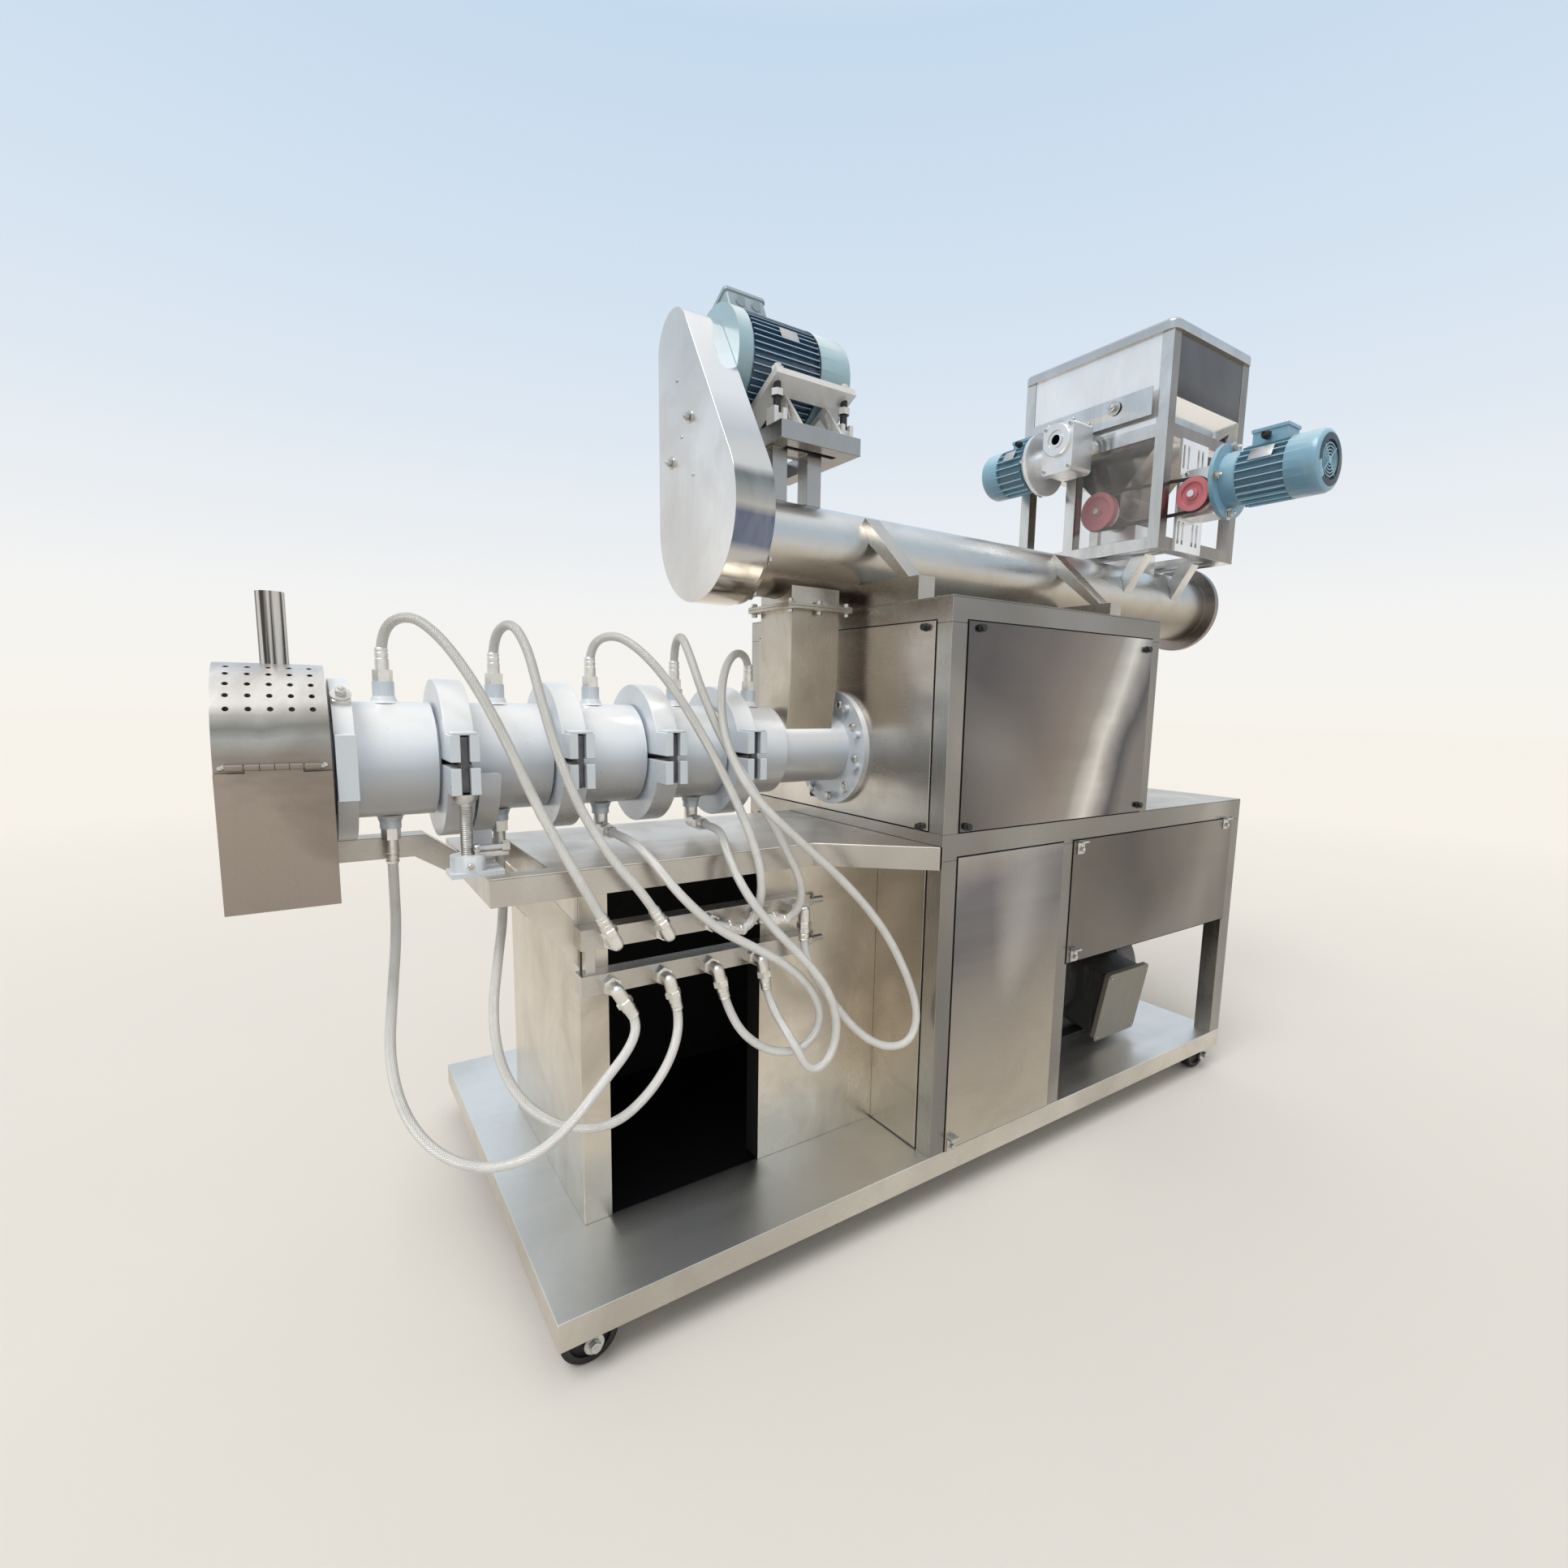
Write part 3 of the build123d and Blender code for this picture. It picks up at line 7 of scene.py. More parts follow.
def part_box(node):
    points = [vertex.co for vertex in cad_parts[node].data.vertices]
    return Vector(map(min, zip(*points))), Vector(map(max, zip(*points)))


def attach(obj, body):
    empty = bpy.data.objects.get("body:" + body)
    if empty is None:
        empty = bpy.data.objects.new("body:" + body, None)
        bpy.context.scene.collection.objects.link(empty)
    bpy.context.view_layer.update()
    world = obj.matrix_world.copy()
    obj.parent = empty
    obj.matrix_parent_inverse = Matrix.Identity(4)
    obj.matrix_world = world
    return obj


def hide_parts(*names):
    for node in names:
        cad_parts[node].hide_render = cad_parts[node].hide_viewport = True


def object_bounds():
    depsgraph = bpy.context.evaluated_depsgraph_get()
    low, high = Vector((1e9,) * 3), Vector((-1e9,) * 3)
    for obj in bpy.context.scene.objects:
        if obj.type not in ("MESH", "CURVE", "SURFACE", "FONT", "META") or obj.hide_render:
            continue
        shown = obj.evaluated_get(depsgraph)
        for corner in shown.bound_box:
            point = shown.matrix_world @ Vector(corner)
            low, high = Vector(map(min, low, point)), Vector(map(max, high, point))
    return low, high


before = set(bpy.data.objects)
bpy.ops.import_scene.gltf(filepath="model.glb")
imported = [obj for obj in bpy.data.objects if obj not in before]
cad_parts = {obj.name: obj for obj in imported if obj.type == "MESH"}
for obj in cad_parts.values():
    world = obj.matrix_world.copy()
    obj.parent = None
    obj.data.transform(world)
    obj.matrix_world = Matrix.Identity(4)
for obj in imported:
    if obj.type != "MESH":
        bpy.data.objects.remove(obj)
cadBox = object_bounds()
mm = 0.001
machine = "machine"
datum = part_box("cabinet_posts")[0]    # foot of the cabinet's front left corner
left, right = Vector((-1, 0, 0)), Vector((1, 0, 0))
front, rear = Vector((0, -1, 0)), Vector((0, 1, 0))
up, down = Vector((0, 0, 1)), Vector((0, 0, -1))


def at(x, y, z):
    # millimetres from the datum, as metres in the frame
    return datum + Vector((x, y, z)) * mm


for name in ("Cube", "Light", "Camera"):
    if name in bpy.data.objects:
        bpy.data.objects.remove(bpy.data.objects[name])


# node trees: a wire is a socket that can stand in sums

class Wire:
    def __init__(self, nodes, socket):
        self.nodes = nodes
        self.socket = socket

    def __add__(self, other):
        return self.nodes.sums("ADD", self, other)

    def __radd__(self, other):
        return self.nodes.sums("ADD", other, self)

    def __sub__(self, other):
        return self.nodes.sums("SUBTRACT", self, other)

    def __rsub__(self, other):
        return self.nodes.sums("SUBTRACT", other, self)

    def __mul__(self, other):
        return self.nodes.sums("MULTIPLY", self, other)

    def __rmul__(self, other):
        return self.nodes.sums("MULTIPLY", other, self)


class Nodes:
    def __init__(self, tree):
        self.tree = tree

    def node(self, kind, settings, sockets, output=0):
        made = self.tree.nodes.new(kind)
        for key, value in settings.items():
            if key == "stops":
                self.fillRamp(made.color_ramp, value)
            else:
                setattr(made, key, value)
        for key, value in sockets.items():
            self.plug(made.inputs[key], value)
        return Wire(self, made.outputs[output])

    def fillRamp(self, ramp, stops):
        while len(ramp.elements) < len(stops):
            ramp.elements.new(0.5)
        for element, (place, shade) in zip(ramp.elements, stops):
            element.position = place
            element.color = (*shade, 1)

    def plug(self, socket, value):
        if isinstance(value, Wire):
            self.tree.links.new(value.socket, socket)
        else:
            socket.default_value = value

    def sums(self, operation, first, second=0.0):
        return self.node("ShaderNodeMath", {"operation": operation}, {0: first, 1: second})

    def tint(self, factor, first, second):
        # sockets 6 and 7 take the colours of a mix, and output 2 gives the mixed one
        return self.node("ShaderNodeMix", {"data_type": "RGBA"}, {
            "Factor": factor, 6: colour(first), 7: colour(second)}, 2)

    def split(self, vector, axis):
        return self.node("ShaderNodeSeparateXYZ", {}, {0: vector}, axis)


class Finish(Nodes):
    def __init__(self, name):
        self.material = bpy.data.materials.new(name)
        self.material.use_nodes = True
        super().__init__(self.material.node_tree)
        self.surface = self.tree.nodes["Principled BSDF"]
        self.place = self.node("ShaderNodeTexCoord", {}, {}, "Object")

    def along(self, axis):
        return self.split(self.place, axis)

    def stretched(self, scale):
        return self.node("ShaderNodeMapping", {}, {"Vector": self.place, "Scale": scale})

    def noise(self, vector, scale, detail=3.0, roughness=0.5, distortion=0.0):
        return self.node("ShaderNodeTexNoise", {}, {
            "Vector": vector, "Scale": scale, "Detail": detail, "Roughness": roughness,
            "Distortion": distortion})

    def ramp(self, value, low, high):
        return self.node("ShaderNodeMapRange", {"clamp": True}, {
            "Value": value, "From Min": low[0], "From Max": high[0], "To Min": low[1], "To Max": high[1]})

    def bump(self, height, distance, strength=1.0, under=None):
        sockets = {"Height": height, "Distance": distance, "Strength": strength}
        if under is not None:
            sockets["Normal"] = under
        return self.node("ShaderNodeBump", {}, sockets)

    def byPlace(self, low, high, stops, wobble=0.14, lean=0.0, axes="ZX"):
        # colours in a soft run along one axis, with a wandering edge, leaning along the other axis
        distance = self.along(axes[0]) - self.along(axes[1]) * lean
        drift = self.noise(self.place, 2.3, 4.0, 0.55, 0.6)
        run = self.ramp(distance + (drift - 0.5) * wobble, (low, 0.0), (high, 1.0))
        return self.node("ShaderNodeValToRGB", {"stops": stops}, {"Fac": run})

    def inside(self, low, high, soft, sharp=0.004, fade=0.03):
        # 1 within a box in x and y, with a soft front edge and a fading right end
        x, y = self.along("X"), self.along("Y")
        leftEnd = self.ramp(x, (low.x, 0.0), (low.x + sharp, 1.0))
        rightEnd = self.ramp(x, (high.x - fade, 1.0), (high.x, 0.0))
        frontEdge = self.ramp(y, (low.y - soft, 0.0), (low.y + soft, 1.0))
        rearEdge = self.ramp(y, (high.y, 1.0), (high.y + sharp, 0.0))
        return leftEnd * rightEnd * frontEdge * rearEdge

    def bySlope(self, stops, wobble=0.3):
        # painted light and shade: colours by how far the surface faces down, 0, or up, 1
        normal = self.node("ShaderNodeTexCoord", {}, {}, "Normal")
        facing = self.split(normal, "Z")
        drift = self.noise(self.stretched((3.0, 3.0, 3.0)), 1.0, 4.0, 0.55, 0.6)
        run = self.ramp(facing + (drift - 0.5) * wobble, (-1.0, 0.0), (1.0, 1.0))
        return self.node("ShaderNodeValToRGB", {"stops": stops}, {"Fac": run})

    def wear(self, distance):
        # 1 on edges and 0 on flats, from the shading normal with rounded corners
        rounded = self.node("ShaderNodeBevel", {"samples": 4}, {"Radius": distance})
        flat = self.node("ShaderNodeNewGeometry", {}, {}, "Normal")
        same = self.node("ShaderNodeVectorMath", {"operation": "DOT_PRODUCT"}, {0: rounded, 1: flat}, "Value")
        return self.ramp(same, (0.75, 1.0), (0.995, 0.0))

    def set(self, **values):
        for key, value in values.items():
            self.plug(self.surface.inputs[key.replace("_", " ")], value)
        return self.material


def colour(value):
    return value if isinstance(value, Wire) or len(value) == 4 else (*value, 1)


def shaded(shade, factor):
    return tuple(min(1.0, channel * factor) for channel in shade)


def spread(along, wide, narrow):
    # a scale that is narrow on one axis and wide on the other two
    return [narrow if axis == along else wide for axis in "XYZ"]


def brushedSteel(name, shade, along="X", roughness=0.3, drift=0.4, stain=0.3, dirt=(0.27, 0.22, 0.16),
                 run=None, slope=None, glare=0.0, shadeBoxes=(), metallic=1.0):
    # fine drawn lines along one axis, slow drifts of tone, painted glare highlights and faint warm smears
    steel = Finish(name)
    lines = steel.noise(steel.stretched(spread(along, 1100.0, 10.0)), 1.0, 2.0)
    bands = steel.noise(steel.stretched(spread(along, 30.0, 1.6)), 1.0, 3.0)
    slow = steel.noise(steel.place, 2.1, 2.0, 0.45, 0.5)
    smear = steel.noise(steel.place, 5.5, 5.0, 0.62, 0.7)
    body = steel.tint(steel.ramp(slow, (0.3, 0.0), (0.7, 1.0)),
                      shaded(shade, 1 - drift), shaded(shade, 1 + 0.5 * drift))
    # painted reflections and shade, from a run by place or from the slope
    if run or slope:
        tone = steel.byPlace(**run) if run else steel.bySlope(slope)
        body = steel.tint(steel.ramp(slow, (0.3, 0.0), (0.7, drift)), tone, shaded(shade, 0.8))
    body = steel.tint(bands * 0.3, body, shaded(shade, 0.75))
    # painted glare: pale highlight patches
    if glare:
        patch = steel.noise(steel.stretched((1.9, 1.9, 1.3)), 1.0, 2.0, 0.4, 0.9)
        body = steel.tint(steel.ramp(patch, (0.5, 0.0), (0.72, glare)), body, (0.88, 0.86, 0.82))
    body = steel.tint(steel.ramp(smear, (0.45, 0.0), (0.78, stain)), body, dirt)
    # painted shade: near black inside each shade box
    for space in shadeBoxes:
        body = steel.tint(steel.inside(*space), body, (0.03, 0.03, 0.035))
    rough = roughness + (bands - 0.5) * 0.1 + (smear - 0.5) * 0.2 + (lines - 0.5) * 0.14
    return steel.set(Base_Color=body, Metallic=metallic, Roughness=rough,
                     Normal=steel.bump(lines, 0.0001, 0.5))


def polishedSteel(name, shade, roughness=0.12, drift=0.25, run=None, streak=0.0, deep=(0.1, 0.08, 0.06),
                  metallic=1.0):
    # a slightly wavy mirror with soft smears; streaks paint reflections, bright and dark stripes on a tube
    steel = Finish(name)
    wave = steel.noise(steel.place, 2.8, 3.0, 0.5, 0.4)
    smear = steel.noise(steel.stretched((7.0, 7.0, 2.4)), 1.0, 5.0, 0.65, 0.8)
    scratch = steel.noise(steel.stretched((700.0, 700.0, 30.0)), 1.0, 2.0)
    body = steel.tint(steel.ramp(smear, (0.38, 0.0), (0.75, 1.0)), shade, shaded(shade, 1 - drift))
    # painted reflections and shade along a run
    if run:
        body = steel.tint(steel.ramp(smear, (0.3, 0.0), (0.75, drift)), steel.byPlace(**run), shade)
    if streak:
        stripes = steel.noise(steel.stretched((170.0, 100.0, 1.5)), 1.0, 2.0, 0.4)
        body = steel.tint(steel.ramp(stripes, (0.42, 0.0), (0.56, streak)), body, deep)
    rough = roughness + steel.ramp(smear, (0.4, 0.0), (0.75, 0.16)) + (scratch - 0.5) * 0.08
    return steel.set(Base_Color=body, Metallic=metallic, Roughness=rough,
                     Normal=steel.bump(wave, 0.003, 0.3, steel.bump(scratch, 0.00006, 0.4)))


def paintedMetal(name, shade, roughness=0.38, chips=0.5, under=(0.2, 0.19, 0.18), coat=0.25,
                 grime=0.3, slope=None, metallic=0.0):
    # sprayed paint: cloudy tone, faint runs, dust, and bare spots along the edges
    paint = Finish(name)
    blot = paint.noise(paint.place, 6.0, 4.0, 0.6)
    fine = paint.noise(paint.place, 90.0, 3.0, 0.6)
    runs = paint.noise(paint.stretched((40.0, 40.0, 6.0)), 1.0, 3.0, 0.6)
    body = paint.tint(blot, shaded(shade, 0.84), shaded(shade, 1.1))
    # painted light and shade by facing, where a slope is given
    if slope:
        body = paint.tint(0.15, paint.bySlope(slope, 0.1), body)
    body = paint.tint(paint.ramp(runs, (0.55, 0.0), (0.85, grime)), body, (0.4, 0.37, 0.32))
    bare = paint.ramp(paint.wear(0.0016) * (fine + 0.35), (0.55, 0.0), (0.8, chips))
    body = paint.tint(bare, body, under)
    rough = roughness + (fine - 0.5) * 0.12 + (blot - 0.5) * 0.1 + bare * 0.2
    return paint.set(Base_Color=body, Metallic=metallic, Roughness=rough, Coat_Weight=coat,
                     Coat_Roughness=0.2, Normal=paint.bump(fine, 0.0002, 0.3))


def castMetal(name, shade, roughness=0.42):
    # a fine sand grain under a cloudy tone
    cast = Finish(name)
    grain = cast.noise(cast.place, 420.0, 3.0, 0.6)
    blot = cast.noise(cast.place, 14.0, 4.0, 0.6)
    body = cast.tint(blot, shaded(shade, 0.72), shade)
    rough = roughness + (grain - 0.5) * 0.2 + (blot - 0.5) * 0.15
    return cast.set(Base_Color=body, Metallic=0.85, Roughness=rough, Normal=cast.bump(grain, 0.0004, 0.5))


def turnedMetal(name, shade, roughness=0.26, worn=(0.32, 0.26, 0.15)):
    # bolts and fittings, with dull worn spots
    metal = Finish(name)
    blot = metal.noise(metal.place, 60.0, 4.0, 0.65)
    body = metal.tint(metal.ramp(blot, (0.45, 0.0), (0.75, 0.7)), shade, worn)
    return metal.set(Base_Color=body, Metallic=1.0, Roughness=roughness + (blot - 0.4) * 0.35,
                     Normal=metal.bump(blot, 0.0003, 0.3))


def blackParts(name, shade, roughness=0.5, metallic=0.0, gloss=0.5):
    # dark parts with a little pale dust
    dark = Finish(name)
    fine = dark.noise(dark.place, 160.0, 4.0, 0.6)
    dust = dark.noise(dark.place, 24.0, 4.0, 0.6)
    body = dark.tint(dark.ramp(dust, (0.45, 0.0), (0.85, 0.35 * gloss)), shade, (0.16, 0.15, 0.14))
    return dark.set(Base_Color=body, Metallic=metallic, Roughness=roughness + (fine - 0.5) * 0.25,
                    Specular_IOR_Level=gloss, Normal=dark.bump(fine, 0.0003, 0.5))


def clearSheet(name):
    # almost clear, with faint smears
    sheet = Finish(name)
    smear = sheet.noise(sheet.place, 9.0, 4.0, 0.6)
    return sheet.set(Base_Color=(0.42, 0.42, 0.42, 1), Roughness=0.05 + smear * 0.1,
                     Alpha=0.05 + smear * 0.16)


def braidedSteel(name, wires, perMetre):
    # two sets of wires cross over each other on the hose's own map; it is darker above the barrel
    braid = Finish(name)
    uv = braid.node("ShaderNodeUVMap", {"uv_map": "length"}, {})
    across = braid.split(uv, "X") * (math.tau * wires)
    run = braid.split(uv, "Y") * (math.tau * perMetre)
    weave = braid.sums("MAXIMUM", braid.sums("SINE", across + run), braid.sums("SINE", across - run))
    dust = braid.noise(braid.place, 30.0, 4.0, 0.6)
    slow = braid.noise(braid.place, 7.0, 3.0, 0.5)
    body = braid.tint(braid.ramp(weave, (-0.3, 0.0), (0.8, 1.0)), (0.56, 0.55, 0.53), (0.96, 0.955, 0.94))
    body = braid.tint(braid.ramp(dust, (0.5, 0.0), (0.85, 0.35)), body, (0.40, 0.37, 0.30))
    body = braid.tint(braid.ramp(slow, (0.4, 0.0), (0.7, 0.25)), body, (0.45, 0.44, 0.41))
    body = braid.tint(braid.ramp(braid.along("Z"), (0.88, 0.0), (1.05, 0.45)), body, (0.36, 0.35, 0.31))
    return braid.set(Base_Color=body, Metallic=0.3, Roughness=0.36 - weave * 0.08,
                     Normal=braid.bump(weave, 0.0006, 0.7))


def plainGround(name, shade, far, fade):
    # pale ground that fades to the horizon's tone far from the machine
    ground = Finish(name)
    blot = ground.noise(ground.place, 1.4, 5.0, 0.6)
    fine = ground.noise(ground.place, 60.0, 4.0, 0.6)
    away = ground.node("ShaderNodeVectorMath", {"operation": "LENGTH"}, {0: ground.place}, "Value")
    body = ground.tint(blot, shaded(shade, 0.96), shade)
    body = ground.tint(ground.ramp(away, (fade[0], 0.0), (fade[1], 1.0)), body, far)
    return ground.set(Base_Color=body, Roughness=0.9, Specular_IOR_Level=0.1,
                      Normal=ground.bump(fine, 0.0006, 0.4))


def heights(node):
    low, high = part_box(node)
    return {"low": low[2], "high": high[2]}


# painted reflections, highlights and shade, set into the metal's colour
# runs of colour, from low to high in metres above the floor, or along x where the axes say so
panelRun = {"low": 0.12, "high": 1.30, "wobble": 0.16, "lean": 0.22, "stops": [
    (0.0, (0.60, 0.54, 0.45)), (0.15, (0.48, 0.43, 0.36)), (0.3, (0.30, 0.275, 0.25)),
    (0.4, (0.15, 0.145, 0.16)), (0.5, (0.14, 0.14, 0.17)), (0.62, (0.52, 0.48, 0.44)),
    (0.78, (0.44, 0.41, 0.38)), (0.88, (0.24, 0.225, 0.215)), (1.0, (0.13, 0.125, 0.12))]}
acrossRun = {"low": -0.524, "high": 0.131, "wobble": 0.13, "lean": 0.4, "axes": "XZ", "stops": [
    (0.0, (0.11, 0.105, 0.11)), (0.3, (0.17, 0.155, 0.15)), (0.52, (0.27, 0.23, 0.21)),
    (0.66, (0.36, 0.34, 0.31)), (0.76, (0.84, 0.83, 0.80)), (0.82, (0.42, 0.41, 0.40)),
    (0.90, (0.08, 0.08, 0.10)), (0.97, (0.22, 0.21, 0.20))]}
bayRun = {"low": 0.29, "high": 1.04, "wobble": 0.25, "lean": -0.3, "axes": "XZ", "stops": [
    (0.0, (0.72, 0.70, 0.67)), (0.1, (0.56, 0.53, 0.50)), (0.24, (0.18, 0.16, 0.15)),
    (0.6, (0.11, 0.10, 0.095)), (1.0, (0.20, 0.185, 0.17))]}
sideRun = {"low": 0.12, "high": 1.30, "wobble": 0.25, "stops": [
    (0.0, (0.60, 0.54, 0.44)), (0.3, (0.50, 0.45, 0.38)), (0.5, (0.46, 0.42, 0.37)),
    (0.64, (0.74, 0.71, 0.66)), (0.78, (0.50, 0.47, 0.44)), (1.0, (0.60, 0.56, 0.52))]}
standRun = {"low": 0.12, "high": 0.82, "stops": [
    (0.0, (0.86, 0.80, 0.70)), (0.5, (0.76, 0.69, 0.59)), (1.0, (0.60, 0.54, 0.46))]}
# guard: a painted highlight on the top and painted shade lower down
guardRun = {"low": 0.79, "high": 1.16, "wobble": 0.09, "stops": [
    (0.0, (0.33, 0.28, 0.24)), (0.5, (0.37, 0.32, 0.27)), (0.62, (0.36, 0.31, 0.27)),
    (0.68, (0.52, 0.50, 0.44)), (0.72, (0.26, 0.255, 0.23)), (0.77, (0.52, 0.51, 0.48)),
    (0.81, (0.93, 0.92, 0.90)), (1.0, (0.98, 0.97, 0.96))]}
# belt guard rim: painted reflections in pale, brown and blue bands
rimRun = {**heights("belt_guard"), "wobble": 0.035, "stops": [
    (0.0, (0.72, 0.66, 0.56)), (0.05, (0.30, 0.25, 0.19)), (0.09, (0.74, 0.72, 0.68)),
    (0.14, (0.56, 0.55, 0.53)), (0.165, (0.10, 0.14, 0.24)), (0.25, (0.06, 0.09, 0.18)),
    (0.28, (0.46, 0.43, 0.37)), (0.33, (0.36, 0.32, 0.26)), (0.37, (0.20, 0.18, 0.15)),
    (0.40, (0.66, 0.65, 0.62)), (0.52, (0.50, 0.54, 0.58)), (0.66, (0.76, 0.79, 0.82)),
    (1.0, (0.95, 0.95, 0.95))]}
# hopper front: painted shade with a bright band as a painted reflection
hopperRun = {**heights("hopper_walls"), "wobble": 0.09, "lean": -0.12, "stops": [
    (0.0, (0.08, 0.065, 0.055)), (0.2, (0.55, 0.53, 0.50)), (0.36, (0.78, 0.76, 0.73)),
    (0.46, (0.16, 0.14, 0.12)), (0.8, (0.07, 0.06, 0.055)), (1.0, (0.12, 0.11, 0.105))]}
# hopper bin: painted shade low down and a painted highlight at the top
binRun = {**heights("hopper_bin"), "wobble": 0.05, "stops": [
    (0.0, (0.10, 0.085, 0.07)), (0.45, (0.20, 0.17, 0.15)), (0.62, (0.34, 0.31, 0.28)),
    (0.74, (0.78, 0.79, 0.79)), (1.0, (0.90, 0.90, 0.90))]}

# painted light and shade by facing: colours by how far a face looks down, 0, or up, 1
barrelSlope = [
    (0.0, (0.34, 0.31, 0.28)), (0.26, (0.42, 0.42, 0.42)), (0.44, (0.52, 0.57, 0.63)),
    (0.53, (0.66, 0.73, 0.80)), (0.67, (0.93, 0.96, 0.99)), (1.0, (0.96, 0.97, 0.98))]
frameSlope = [
    (0.0, (0.22, 0.20, 0.18)), (0.3, (0.30, 0.28, 0.26)), (0.5, (0.40, 0.40, 0.39)),
    (0.8, (0.70, 0.70, 0.69)), (1.0, (0.92, 0.92, 0.91))]
tubeSlope = [
    (0.0, (0.34, 0.30, 0.25)), (0.2, (0.22, 0.19, 0.16)), (0.36, (0.44, 0.40, 0.34)),
    (0.5, (0.62, 0.60, 0.56)), (0.72, (0.72, 0.71, 0.69)), (0.86, (0.88, 0.88, 0.87)),
    (1.0, (0.95, 0.95, 0.94))]
tealSlope = [
    (0.0, (0.10, 0.21, 0.30)), (0.3, (0.15, 0.31, 0.43)), (0.6, (0.22, 0.43, 0.57)),
    (0.82, (0.42, 0.63, 0.76)), (1.0, (0.54, 0.73, 0.84))]
ringSlope = [
    (0.0, (0.15, 0.25, 0.30)), (0.4, (0.27, 0.42, 0.49)), (0.65, (0.38, 0.56, 0.64)),
    (0.85, (0.74, 0.86, 0.91)), (1.0, (0.80, 0.90, 0.94))]

# painted shade on the deck inside the stand: two corners and the front edge's softness in metres
deckShadeBoxes = [(at(-692, 204, 0), at(-4, 699, 0), 0.002), (at(-650, 180, 0), at(-308, 204, 0), 0.05)]

